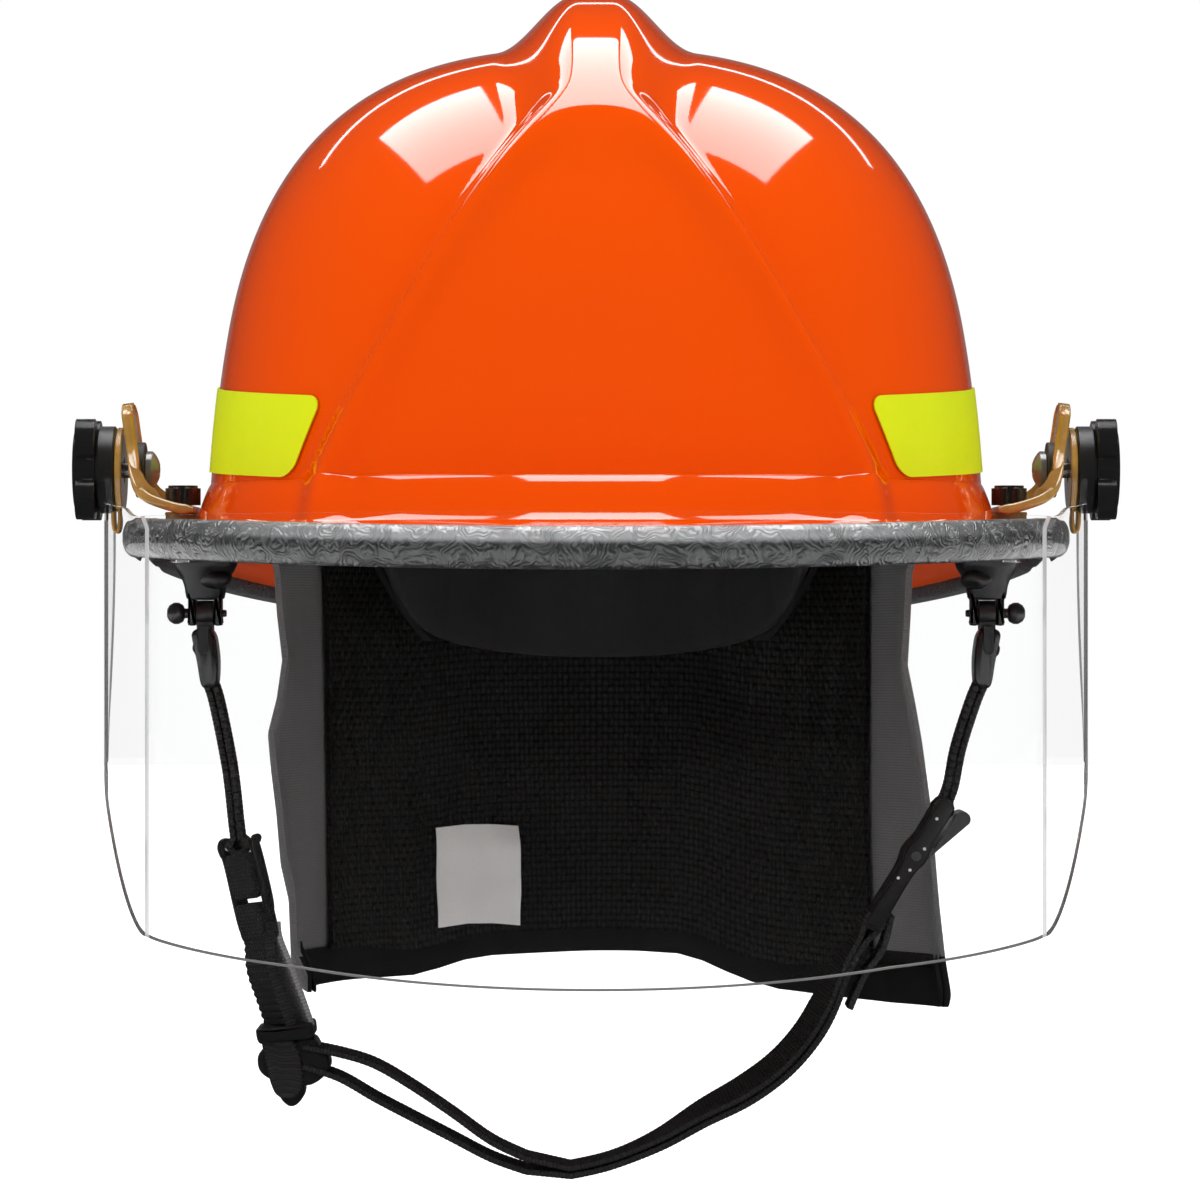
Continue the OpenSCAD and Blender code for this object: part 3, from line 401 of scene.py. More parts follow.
def rounded_rect(width: float, height: float, r: float, corner: int = 4, flat: int = 1) -> Array:
    """Outline of a rectangle with round corners.

    Args:
        width: size along the first coordinate.
        height: size along the second one.
        r: corner radius.
        corner: points on each corner's arc, less one.
        flat: spans into which each long side is split.

    Returns:
        Rows of two coordinates, anticlockwise.
    """
    a = np.radians(np.linspace(0, 90, corner + 1))
    arc = merged(np.cos(a), np.sin(a)) * r
    x, y = width / 2 - r, height / 2 - r
    sides = []
    for sx, sy in ((1, 1), (-1, 1), (-1, -1), (1, -1)):
        part = arc if sx * sy > 0 else arc[::-1]
        sides.append(part * [sx, sy] + [sx * x, sy * y])
        if sx * sy > 0 and flat > 1:
            sides.append(merged(sx * x * (1 - 2 * np.linspace(0, 1, flat + 1)[1:-1]), sy * (y + r)))
    return np.vstack(sides)


def bar(a: Array, b: Array, d: float = 3.0) -> Skin:
    """Round bar between two points, with its edges broken.

    Args:
        a: middle of one end.
        b: middle of the other.
        d: diameter.

    Returns:
        The closed mesh.
    """
    a, b = np.asarray(a, float), np.asarray(b, float)
    length, half, e = np.linalg.norm(b - a), d / 2, min(0.25, d / 6)
    profile = [[0, 0], [half - e, 0], [half, e], [half, length - e], [half - e, length], [0, length]]
    return spun(profile, 32, a, b - a)


def ribbon(
    line: Array, wide: Array, section: Array, closed: bool = False, rib: float = 0.0, pitch: float = 1.6
) -> Skin:
    """Webbing: its section (across, out) is carried along a line, and fine cross ribs swell its faces.

    Args:
        line: points of the middle, evenly spaced.
        wide: direction of the width, one for all points or one for each.
        section: outline of the webbing, width by thickness.
        closed: whether the line returns to its start.
        rib: height of the cross ribs.
        pitch: distance between two ribs.

    Returns:
        The closed mesh, with a map of the distance along and the place across.
    """
    wide = np.broadcast_to(wide, line.shape)
    out = unit(np.cross(along(line, closed), wide))
    run = np.arange(len(line)) * np.linalg.norm(np.diff(line, axis=0), axis=1).mean()
    swell = rib * np.abs(np.sin(np.pi * run / pitch))[:, None] * np.sign(section[:, 1])
    swell = swell * (np.abs(section[:, 1]) > 0.4 * np.abs(section[:, 1]).max())
    rings = line[:, None] + wide[:, None] * section[:, :1] + out[:, None] * (section[:, 1] + swell)[..., None]
    return tube(rings, closed, merged(run[:, None], section[:, 0]))


def round_bar(centre: Array, heading: Array, reach: float, first: float, last: float) -> Array:
    """Nine points of an arc round a bar, between two angles in degrees from the heading."""
    a = np.radians(np.linspace(first, last, 9)) + math.atan2(heading[1], heading[0])
    return np.asarray(centre) + reach * merged(np.cos(a), np.sin(a))


def loop_route(route: Array, reach: float, apart: float) -> Array:
    """Line of a webbing that runs from one bar round a second one and back.

    Args:
        route: centre of the first bar, points between the bars and centre of the second, x and z.
        reach: distance of the webbing's middle from a bar's centre.
        apart: distance of each ply's middle from the route.

    Returns:
        Points of the closed line, x and z.
    """
    mid = catmull(route[1:-1], 8)
    t = along(mid)
    side = left_of(mid) * apart
    ends = round_bar(route[0], t[0], reach, -100, -260), round_bar(route[-1], t[-1], reach, 100, -100)
    return np.vstack([ends[0], (mid + side)[2:-2], ends[1], (mid - side)[2:-2][::-1]])


def rounded_copy(node: str, name: str, width: float, crease: float = 28.0) -> Object:
    """A piece with the shape of a CAD node whose edges are rounded.

    Args:
        node: name of the CAD node.
        name: name of the new piece.
        width: width of the rounding in mm.
        crease: angle in degrees from which an edge is rounded.

    Returns:
        The new piece, which replaces the node.
    """
    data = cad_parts[node].data.copy()
    data.name = name
    work = bmesh.new()
    work.from_mesh(data)
    bmesh.ops.remove_doubles(work, verts=work.verts, dist=2e-6)
    bmesh.ops.dissolve_degenerate(work, edges=work.edges, dist=1e-6)
    bmesh.ops.dissolve_limit(work, verts=work.verts, edges=work.edges, angle_limit=math.radians(0.6))
    work.to_mesh(data)
    work.free()
    obj = shown(name, data, crease)
    if width:
        bevelled(obj, width, crease)
    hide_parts(node)
    return obj


def bevelled(obj: Object, width: float, crease: float) -> None:
    """Rounds the edges of a piece that are sharper than the crease angle, width mm wide.

    Args:
        obj: the piece.
        width: width of the rounding in mm.
        crease: angle in degrees from which an edge is rounded.
    """
    bevel = obj.modifiers.new("edges", "BEVEL")
    bevel.width, bevel.segments = width * MM, 2
    bevel.limit_method, bevel.angle_limit = "ANGLE", math.radians(crease)


def face_centres(obj: Object) -> Array:
    """Centres of a piece's faces in mm.

    Args:
        obj: the piece, at the origin.

    Returns:
        One row for each face.
    """
    centres = np.empty(3 * len(obj.data.polygons))
    obj.data.polygons.foreach_get("center", centres)
    return centres.reshape(-1, 3) / MM


def finished(obj: Object, body: Body, finish: "Finish", *nodes: str) -> Object:
    """Gives a piece its material and body, and hides the CAD nodes that it stands for.

    Args:
        obj: the piece.
        body: the body that it rides on.
        finish: its finish.
        nodes: the CAD nodes that it replaces.

    Returns:
        The same piece.
    """
    obj.data.materials.clear()
    obj.data.materials.append(finish.material())
    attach(obj, body.value)
    if nodes:
        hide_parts(*nodes)
    log.info("%s: %d faces, rides on %s", obj.name, len(obj.data.polygons), body.value)
    return obj


def dressed(*rows: tuple[str, str, Body, "Finish", float]) -> None:
    """Makes rounded copies of CAD nodes: each row is a node, an ending, a body, a finish and a width."""
    for node, ending, body, finish, width in rows:
        finished(rounded_copy(node, f"{node}_{ending}", width), body, finish)


# Node groups and finishes


class Wiring:
    """Nodes of one tree, added and linked in short calls."""

    def __init__(self, tree: bpy.types.NodeTree) -> None:
        """Keeps the tree."""
        self.tree = tree

    def feed(self, socket: Socket, value: object) -> None:
        """Links an output to an input socket, or sets its value.

        Args:
            socket: the input.
            value: an output socket or a plain value.
        """
        if isinstance(value, Socket):
            self.tree.links.new(value, socket)
        else:
            socket.default_value = value

    def add(self, kind: str, **inputs: object) -> bpy.types.Node:
        """Adds a node and sets or links its inputs.

        Args:
            kind: type of the node without its ShaderNode prefix.
            inputs: input names, with _ for a space, or numbered as i0; a value or an output socket.
                Names that the node itself has are set on the node.

        Returns:
            The new node.
        """
        node = self.tree.nodes.new("ShaderNode" + kind)
        for key, value in inputs.items():
            if hasattr(node, key) and not isinstance(value, Socket):
                setattr(node, key, value)
            else:
                numbered = key[0] == "i" and key[1:].isdigit()
                self.feed(node.inputs[int(key[1:]) if numbered else key.replace("_", " ")], value)
        return node

    def math(
        self, operation: str, a: object, b: object = 0.0, c: float | None = None, clamp: bool = False
    ) -> Socket:
        """Output of a Math node with two or three inputs."""
        third = {} if c is None else {"i2": c}
        return self.add("Math", operation=operation, use_clamp=clamp, i0=a, i1=b, **third).outputs[0]

    def blend(self, factor: object, a: object, b: object) -> Socket:
        """Output of a Mix node for colours.

        Args:
            factor: share of the second colour.
            a: first colour.
            b: second colour.

        Returns:
            The output.
        """
        node = self.add("Mix", data_type="RGBA")
        for number, value in ((0, factor), (6, a), (7, b)):
            self.feed(node.inputs[number], value)
        return node.outputs[2]

    def group(self, name: str, place: Socket, scale: float) -> bpy.types.Node:
        """A node of the shared group of that name."""
        return self.add("Group", node_tree=Groups.get(name), Vector=place, Scale=scale)

    def noise(self, place: object, scale: object, detail: float, roughness: float = 0.5) -> bpy.types.Node:
        """A Noise Texture node at a place."""
        return self.add("TexNoise", Vector=place, Scale=scale, Detail=detail, Roughness=roughness)


class Group:
    """A shader node group in the making: it has the inputs Vector and Scale, and value outputs."""

    def __init__(self, name: str, *outputs: str, amount: bool = False) -> None:
        """Starts the group.

        Args:
            name: name of the group.
            outputs: names of its outputs.
            amount: whether it has a third input, Amount.
        """
        self.tree = bpy.data.node_groups.new(name, "ShaderNodeTree")
        sockets = {"Vector": "NodeSocketVector", "Scale": "NodeSocketFloat"}
        if amount:
            sockets["Amount"] = "NodeSocketFloat"
        for key, kind in sockets.items():
            self.tree.interface.new_socket(key, in_out="INPUT", socket_type=kind)
        for key in outputs:
            self.tree.interface.new_socket(key, in_out="OUTPUT", socket_type="NodeSocketFloat")
        self.inputs = self.tree.nodes.new("NodeGroupInput").outputs
        self.out = self.tree.nodes.new("NodeGroupOutput")
        self.wiring = Wiring(self.tree)

    def end(self, *values: Socket) -> bpy.types.NodeTree:
        """Links the outputs and gives the finished tree.

        Args:
            values: one for each output.

        Returns:
            The group's tree.
        """
        for socket, value in zip(self.out.inputs, values):
            self.wiring.feed(socket, value)
        return self.tree


def grain_group() -> bpy.types.NodeTree:
    """Fine moulded grain: two sizes of noise, the fine one as height and the broad one as a mask.

    Returns:
        The group.
    """
    group = Group("fine_grain", "Height", "Mask")
    w, (place, scale, *_) = group.wiring, group.inputs
    fine = w.noise(place, scale, 3.0, 0.6)
    broad = w.noise(place, w.math("MULTIPLY", scale, 0.02), 4.0)
    return group.end(fine.outputs[0], w.math("MULTIPLY_ADD", broad.outputs[0], 1.6, -0.3, True))


def emboss_group() -> bpy.types.NodeTree:
    """Wrinkled emboss: rings round scattered points, bent by noise, with grooves between the cells; the
    second output, low in the grooves, is used to paint shade there.

    Returns:
        The group.
    """
    group = Group("wrinkle_emboss", "Height", "GrooveShade")
    w, (place, scale, *_) = group.wiring, group.inputs
    bend = w.noise(place, w.math("MULTIPLY", scale, 1.7), 2.0)
    offset = w.add("VectorMath", operation="SCALE", i0=bend.outputs[1], Scale=0.009)
    place = w.add("VectorMath", operation="ADD", i0=place, i1=offset.outputs[0]).outputs[0]
    cell = w.add("TexVoronoi", Vector=place, Scale=scale)
    edge = w.add("TexVoronoi", feature="DISTANCE_TO_EDGE", Vector=place, Scale=scale)
    rings = w.math("SINE", w.math("MULTIPLY", cell.outputs["Distance"], 60.0))
    groove = w.math("MULTIPLY", edge.outputs["Distance"], 9.0, clamp=True)
    return group.end(w.math("MULTIPLY", w.math("MULTIPLY_ADD", rings, 0.5, 0.5), groove), groove)


def weave_group() -> bpy.types.NodeTree:
    """Plain weave on a map: threads along and across take turns on top. Scale is the threads' pitch. The
    second output, low between the threads, is used to paint shade there.

    Returns:
        The group.
    """
    group = Group("plain_weave", "Height", "Gap")
    w, (place, pitch, *_) = group.wiring, group.inputs
    part = w.add("SeparateXYZ", Vector=place)
    x, y = (w.math("DIVIDE", part.outputs[k], pitch) for k in (0, 1))
    cell = w.math("ADD", w.math("FLOOR", x), w.math("FLOOR", y))
    turn = w.math("MULTIPLY", w.math("FRACT", w.math("MULTIPLY", cell, 0.5)), 2.0)
    wave_x, wave_y = (w.math("ABSOLUTE", w.math("SINE", w.math("MULTIPLY", v, math.pi))) for v in (x, y))
    height = w.math("ADD", wave_x, w.math("MULTIPLY", turn, w.math("SUBTRACT", wave_y, wave_x)))
    return group.end(height, w.math("POWER", w.math("MULTIPLY", wave_x, wave_y), 0.5))


def tint_group() -> bpy.types.NodeTree:
    """Uneven colour: noise darkens and lightens a colour by a small share.

    Returns:
        The group.
    """
    group = Group("uneven_tint", "Share", amount=True)
    w, (place, scale, amount, *_) = group.wiring, group.inputs
    noise = w.noise(place, scale, 5.0, 0.65)
    swing = w.math("MULTIPLY", w.math("SUBTRACT", noise.outputs[0], 0.5), w.math("MULTIPLY", amount, 4.0))
    return group.end(w.math("ADD", swing, 1.0))


def wear_group() -> bpy.types.NodeTree:
    """Rubbed edges: where the surface turns outwards, broken up by noise.

    Returns:
        The group.
    """
    group = Group("rubbed_edges", "Mask")
    w = group.wiring
    point = w.add("NewGeometry").outputs["Pointiness"]
    edge = w.math("MULTIPLY", w.math("SUBTRACT", point, 0.52), 14.0, clamp=True)
    noise = w.noise(group.inputs[0], group.inputs[1], 4.0)
    return group.end(w.math("MULTIPLY", edge, noise.outputs[0], clamp=True))


class Pattern(Enum):
    """What gives a finish its relief."""

    GRAIN = "grain"
    EMBOSS = "emboss"
    WEAVE = "weave"


class Groups:
    """The shared node groups, each made when it is first asked for."""

    makers = {
        "grain": grain_group, "emboss": emboss_group, "weave": weave_group, "tint": tint_group,
        "wear": wear_group,
    }
    made: dict[str, bpy.types.NodeTree] = {}

    @classmethod
    def get(cls, name: str) -> bpy.types.NodeTree:
        """The group of that name.

        Args:
            name: one of the makers' names.

        Returns:
            The shared tree.
        """
        if name not in cls.made:
            cls.made[name] = cls.makers[name]()
        return cls.made[name]


@dataclass(frozen=True)
class Finish:
    """A finish: its colour, gloss, relief and the record's slot that it belongs to."""

    name: str
    slot: str
    color: tuple[float, float, float]
    roughness: float = 0.5
    rough_swing: float = 0.1
    pattern: Pattern = Pattern.GRAIN
    scale: float = 1500.0
    relief: float = 0.00002
    tint: float = 0.08
    tint_scale: float = 40.0
    # painted shade: share by which the pattern's second output darkens the colour, in emboss grooves and
    # between woven threads; with grain it is broad random mottle
    hollow_shade_and_mottle: float = 0.0
    wear: float = 0.0
    metallic: float = 0.0
    specular: float = 0.5
    coat: float = 0.0
    sheen: float = 0.0
    transmission: float = 0.0
    ior: float = 1.5
    # painted highlight: share of pale grey mixed in where a mesh attribute marks light falling on the piece
    painted_highlight: float = 0.0

    def shaded(self, w: Wiring, relief: bpy.types.Node, place: Socket) -> Socket:
        """Base colour: the finish's own, uneven, with painted shade in its hollows (broad random mottle for
        grain), rubbed at edges, and paler where a painted highlight is marked.

        Args:
            w: the material's wiring.
            relief: node of the pattern.
            place: object coordinates.

        Returns:
            Output that gives the colour.
        """
        tint = w.group("tint", place, self.tint_scale)
        tint.inputs["Amount"].default_value = self.tint
        color = w.add("VectorMath", operation="SCALE", i0=self.color, Scale=tint.outputs[0]).outputs[0]
        # painted shade in the hollows: darker where the pattern's second output is low
        if self.hollow_shade_and_mottle:
            dark = w.math("MULTIPLY_ADD", relief.outputs[1], self.hollow_shade_and_mottle, 1 - self.hollow_shade_and_mottle)
            color = w.add("VectorMath", operation="SCALE", i0=color, Scale=dark).outputs[0]
        if self.wear:
            mask = w.group("wear", place, 200.0).outputs[0]
            color = w.blend(w.math("MULTIPLY", mask, self.wear), color, (0.06, 0.06, 0.06, 1.0))
        # painted highlight: paler grey where the mesh attribute marks the light falling
        if self.painted_highlight:
            share = w.add("Attribute", attribute_name="painted_highlight").outputs["Fac"]
            color = w.blend(w.math("MULTIPLY", share, self.painted_highlight), color, (0.5, 0.5, 0.51, 1.0))
        return color

    def material(self) -> bpy.types.Material:
        """The finish's material, made when it is first asked for.

        Returns:
            The material.
        """
        if self.name in bpy.data.materials:
            return bpy.data.materials[self.name]
        mat = bpy.data.materials.new(self.name)
        mat.use_nodes = True
        w = Wiring(mat.node_tree)
        shader = mat.node_tree.nodes["Principled BSDF"]
        place = w.add("TexCoord").outputs
        chart = place["UV" if self.pattern is Pattern.WEAVE else "Object"]
        relief = w.group(self.pattern.value, chart, self.scale)
        smoothest = self.roughness - self.rough_swing / 2
        rough = w.math("MULTIPLY_ADD", relief.outputs[0], self.rough_swing, smoothest)
        for key, value in {
            "Base Color": self.shaded(w, relief, place["Object"]),
            "Roughness": self.roughness if self.transmission else rough,
            "Normal": w.add("Bump", Height=relief.outputs[0], Strength=1.0, Distance=self.relief).outputs[0],
            "Metallic": self.metallic,
            "Specular IOR Level": self.specular,
            "Coat Weight": self.coat,
            "Sheen Weight": self.sheen,
            "Transmission Weight": self.transmission,
            "IOR": self.ior,
        }.items():
            w.feed(shader.inputs[key], value)
        return mat


def grey(level: float, blue: float | None = None) -> tuple[float, float, float]:
    """A grey with its own blue value."""
    return (level, level, level if blue is None else blue)


PAINT = Finish(
    "orange_gloss", "shell", (1.0, 0.088, 0.0), 0.06, 0.01, scale=700.0, relief=3e-6, tint=0.012,
    tint_scale=12.0, coat=0.35,
)
# Trim rubber: painted shade in its emboss grooves, and a painted highlight where its bead catches the light.
RUBBER = Finish(
    "trim_rubber", "trim", (0.024, 0.0245, 0.0255), 0.36, 0.16, Pattern.EMBOSS, 80.0, 0.00045, painted_highlight=0.7,
    hollow_shade_and_mottle=0.55, tint=0.2, tint_scale=60.0, specular=0.8, coat=0.3,
)
LIME = Finish("lime_film", "tape", (0.8, 0.93, 0.0), 0.38, 0.05, scale=900.0, relief=1e-5, tint=0.03,
              specular=0.15)
FOAM = Finish("liner_foam", "foam", (0.5, 0.43, 0.26), 0.85, scale=900.0, relief=0.0003, hollow_shade_and_mottle=0.2, tint=0.1)
MOULDED = Finish("black_moulded", "moulded_black", grey(0.01, 0.0105), 0.34, 0.12, scale=1800.0, wear=0.25,
                 specular=0.35)
GLOSSY = Finish("black_gloss", "moulded_black", grey(0.012, 0.013), 0.16, 0.06, scale=1200.0, relief=1e-5)
WEBBING = Finish("black_webbing", "webbing", grey(0.024, 0.025), 0.65, 0.1, Pattern.WEAVE, 0.0011, 0.0004,
                 hollow_shade_and_mottle=0.45, tint=0.15, specular=0.25)
DARK_WEB = replace(WEBBING, name="dark_webbing", slot="grey_web", color=grey(0.03, 0.031), relief=0.0003,
                   hollow_shade_and_mottle=0.4, tint=0.1, specular=0.2)
# Painted light: a lighter copy of the tail webbing, for the left tail where it catches the light.
LIT_TAIL_WEB = replace(DARK_WEB, name="tail_webbing_painted_light", color=grey(0.24, 0.245), roughness=0.7)
PAD = Finish("pad_cloth", "pad", grey(0.021, 0.022), 0.75, scale=1100.0, relief=0.0002, hollow_shade_and_mottle=0.3, tint=0.12,
             specular=0.15, sheen=0.03)
CLOTH = Finish("cape_cloth", "cape", grey(0.178, 0.18), 0.75, 0.1, Pattern.WEAVE, 0.0008, 0.00014, hollow_shade_and_mottle=0.3,
               tint=0.16, tint_scale=16.0, specular=0.15, sheen=0.03)
MESH = Finish("lining_mesh", "lining", grey(0.024), 0.62, 0.2, Pattern.WEAVE, 0.0022, 0.0005, hollow_shade_and_mottle=0.75,
              tint=0.25, tint_scale=20.0, specular=0.1)
LABEL = Finish("blank_label", "label", grey(0.86, 0.85), 0.6, 0.1, Pattern.WEAVE, 0.0005, 0.00005, tint=0.06)
HEM = Finish("hem_cloth", "lining", grey(0.012), 0.6, scale=1600.0, relief=0.0001, tint=0.2, specular=0.2)
AMBER = Finish("amber_moulding", "amber", (0.56, 0.31, 0.07), 0.2, 0.08, scale=500.0, relief=6e-5, tint=0.3,
               tint_scale=120.0, coat=0.3, transmission=0.25, ior=1.55)
WASHER = Finish("washer_rubber", "washer", grey(0.014), 0.6, relief=3e-5)
PIN = Finish("black_pin", "steel", grey(0.03, 0.031), 0.3, metallic=0.4)
STEEL = Finish("bright_steel", "steel", grey(0.62, 0.64), 0.14, 0.08, scale=2500.0, relief=4e-6, tint=0.05,
               metallic=1.0)
SCREW = replace(STEEL, name="dark_chrome", color=grey(0.22, 0.225), roughness=0.2, rough_swing=0.06,
                tint=0.08, metallic=0.35, specular=0.8)
# Steel rivets given a pale, nearly non-metal grey: their light metal, painted brighter to show as glints.
RIVET_GLINT = replace(STEEL, name="rivet_painted_glint", color=grey(0.72), roughness=0.3, rough_swing=0.05, tint=0.08,
                metallic=0.1)
CLEAR = Finish("clear_lens", "lens", (0.985, 0.99, 0.99), 0.0, 0.0, scale=60.0, relief=0.0, tint=0.004,
               transmission=1.0, ior=1.06)
CLEAR_WING = replace(CLEAR, name="clear_wing", color=grey(0.99), ior=1.01)
# Painted shade: grey, partly opaque faces along the lens's edges stand in for the dark line that the clear
# edge shows.
LENS_EDGE_SHADE = replace(CLEAR, name="lens_edge_painted_shade", color=grey(0.24), roughness=0.2, rough_swing=0.02, tint=0.02,
                    transmission=0.35, ior=1.5)
# Painted highlight: a pale, rough, partly opaque band along each crease stands in for the light line that the
# crease shows.
LENS_CREASE_HIGHLIGHT = replace(LENS_EDGE_SHADE, name="lens_crease_painted_highlight", color=grey(0.8), roughness=0.25, transmission=0.3,
                      ior=1.1)


# Shell


@dataclass
class Shell:
    """Keeled shell: a dome with a keel that forks into the crest of a sunk front panel, and a brim."""

    half: float = 116.0
    front: float = 138.0
    rear: float = 152.0
    height: float = 148.0
    wall: float = 2.6
    keel: float = 16.0
    keel_half: float = 30.0
    keel_flat: float = 5.0
    panel_half: float = 83.0
    recess: float = 4.0
    brim_side: float = 25.0
    brim_front: float = 42.0
    brim_rear: float = 48.0
    drop_front: float = 5.0
    drop_rear: float = 24.0
    profile_power: float = 2.8
    plan_power: float = 2.2
    fork: float = 48.0
    fork_bend: float = 1.65
    front_share: float = 0.42
    rear_share: float = 0.45
    flank: float = 6.5
    ledge: float = 3.0
    panel_fillet: float = 13.0
    foot: float = 16.0
    fillet: float = 12.5
    edge_inset: float = 6.0
    flare: float = 2.6
    around: int = 432
    dome_rows: int = 124
    fillet_rows: int = 16

    @staticmethod
    def meridian(n: int) -> Array:
        """Angles in degrees of n meridians, closer together at the front and back."""
        a = 360.0 * np.arange(n) / n
        return a + 12 * np.sin(np.radians(2 * a))

    def crest(self, psi: Array) -> Array:
        """Distance of the crest from the middle, psi degrees up from the front."""
        share = 1 - (np.clip(psi, 0, None) / self.fork) ** self.fork_bend
        return self.keel_flat + (self.panel_half - self.keel_flat) * (share + np.sqrt(share**2 + 0.004)) / 2

    def rise(self, x: Array, psi: Array) -> Array:
        """Height of the keel over the dome: a level top, a flank outside the crest that is narrow at the
        front and a bell at the crown, and inside the crest a ledge and the sunk panel.

        Args:
            x: distance to the side.
            psi: angle in degrees up from the front.

        Returns:
            Heights in mm.
        """
        ahead, back = psi < 90, psi - 90
        share = np.where(ahead, mix(self.front_share, 1, smooth((psi + 10) / 85)),
                         mix(1, self.rear_share, smooth(back / 85)))
        top = self.keel * share
        bell = self.keel_half - self.keel_flat
        width = np.where(ahead, mix(self.flank, bell, smooth((psi - 25) / 38)),
                         bell * mix(1, 1.5, smooth(back / 80)))
        out = np.abs(x) - self.crest(psi)
        outside = top * (1 + np.cos(np.pi * np.clip(out / width, 0, 1))) / 2
        near = np.sqrt(x**2 + 16.0) - 4.0 - self.crest(psi)
        sunk = smooth((-near - self.ledge) / self.panel_fillet) * smooth((self.fork - 2 - psi) / 8)
        return np.where(out >= 0, outside, top - self.recess * sunk)

    def keeled(self, p: Array) -> Array:
        """The point moved away from the X axis by the keel.

        Args:
            p: points of the plain dome.

        Returns:
            Points of the keeled dome.
        """
        y, z = p[..., 1], p[..., 2]
        far = np.hypot(y, z)
        k = np.where(far < 1, 0, self.rise(p[..., 0], np.degrees(np.arctan2(z, -y))) / np.maximum(far, 1.0))
        return merged(p[..., 0], y * (1 + k), z * (1 + k))

    def splay(self, z: Array | float) -> Array | float:
        """How far the dome's sides widen towards the foot, at the height z."""
        return self.flare * np.clip(1 - np.maximum(z, 10.0) / 62, 0, 1) ** 1.6

    def plain_dome(self, th: Array, t: Array, off: float) -> Array:
        """Dome without its keel: powers of sine and cosine in plan and profile.

        Args:
            th: angles in plan, in degrees.
            t: angles in profile.
            off: distance outside the outer face.

        Returns:
            Points in mm.
        """
        th, t = np.radians(th), np.radians(t)
        c, e = np.cos(t) ** (2 / self.profile_power), 2 / self.plan_power
        long = np.where(np.sin(th) < 0, self.front, self.rear) + off
        z = (self.height + off) * np.sin(t) ** (2 / self.profile_power)
        wide = self.half + off + self.splay(z)
        return merged(wide * spow(np.cos(th), e) * c, long * spow(np.sin(th), e) * c, z)

    def dome_angles(self, z: float, off: float, rows: int, power: float = 1.0) -> Array:
        """Profile angles of so many rings, from just below the crown down to z high."""
        low = math.degrees(math.asin((z / (self.height + off)) ** (self.profile_power / 2)))
        return (90 - (90 - low) * (np.arange(1, rows + 1) / rows) ** power)[:, None]

    def reach(self, a: Array) -> Array:
        """Length of the brim in front of or behind the middle, for the angle a in plan."""
        return np.where(np.sin(a) < 0, self.front + self.brim_front, self.rear + self.brim_rear)

    def edge(self, th: Array, inset: float) -> tuple[Array, Array]:
        """The brim's edge in plan: x and y at the angle th, inset mm inside it."""
        a = np.radians(th)
        return (self.half + self.brim_side - inset) * np.cos(a), (self.reach(a) - inset) * np.sin(a)

    def edge_z(self, y: Array) -> Array:
        """Height of the brim's edge: it drops a little to the front and more to the back.

        Args:
            y: distances behind the middle.

        Returns:
            Heights in mm.
        """
        ahead = np.clip(-y, 0, None) / (self.front + self.brim_front)
        behind = np.clip(y, 0, None) / (self.rear + self.brim_rear)
        return -self.drop_front * ahead**1.8 - self.drop_rear * behind**1.15

    def brim_top(self, u: Array, edge_z: Array) -> Array:
        """Height of the brim's top from the dome's foot, u = 0, to its edge, u = 1: a slope and a fillet.

        Args:
            u: share of the way outwards.
            edge_z: height of the brim's edge there.

        Returns:
            Heights in mm.
        """
        v = (1 - (1 - u) ** 3) ** (1 / 3)
        low = edge_z + self.wall / 2
        return low + (self.foot - low - self.fillet) * (1 - u) + self.fillet * (1 - v)

    def rings(self, off: float, rows: int, fillet_rows: int) -> Array:
        """Rings of points of one face of the shell, from the crown to the brim's edge.

        Args:
            off: distance outside the outer face.
            rows: rings on the dome.
            fillet_rows: rings on the brim.

        Returns:
            Rings by points by 3.
        """
        th = self.meridian(self.around)[None, :]
        dome = self.keeled(self.plain_dome(th, self.dome_angles(self.foot, off, rows, 1.08), off))
        u = 1 - np.cos(np.radians(np.linspace(0, 90, fillet_rows + 1)[1:, None])) ** (2 / 3)
        rx, ry = self.edge(th, self.edge_inset)
        fx, fy, fz = np.moveaxis(dome[-1:], -1, 0)
        top = self.brim_top(u, self.edge_z(ry)) + off
        brim = merged(mix(fx, rx, u), mix(fy, ry, u), mix(fz, top, np.minimum(1, 4 * u)))
        rim = merged(*self.edge(th, 0.0), self.edge_z(ry) + self.wall / 2 + off)
        return np.concatenate([dome, brim, rim])

    def skin_at(self, az: Array, z: Array, off: Array | float) -> Array:
        """Points of the outer face.

        Args:
            az: degrees round from the front.
            z: heights.
            off: distance outside the face.

        Returns:
            Points in mm.
        """
        s, c = np.sin(np.radians(az)), np.cos(np.radians(az))
        rho = (1 - (z / (self.height + off)) ** self.profile_power) ** (1 / self.profile_power)
        long = np.where(c > 0, self.front, self.rear) + off
        p = self.plan_power
        r = rho * ((np.abs(s) / (self.half + off + self.splay(z))) ** p + (np.abs(c) / long) ** p) ** (-1 / p)
        return self.keeled(merged(r * s, -r * c, z))

    def build(self) -> None:
        """Makes the shell with its inner wall."""
        outer = self.rings(0.0, self.dome_rows, self.fillet_rows)
        inner = self.rings(-self.wall, 40, 6)[::-1]
        poles = self.keeled(self.plain_dome(np.zeros(2), np.full(2, 90.0), np.array([0.0, -self.wall])))
        skin = domed(np.concatenate([outer, inner]), poles)
        finished(skin.place("shell_keeled", 50), Body.HELMET, PAINT, "shell")


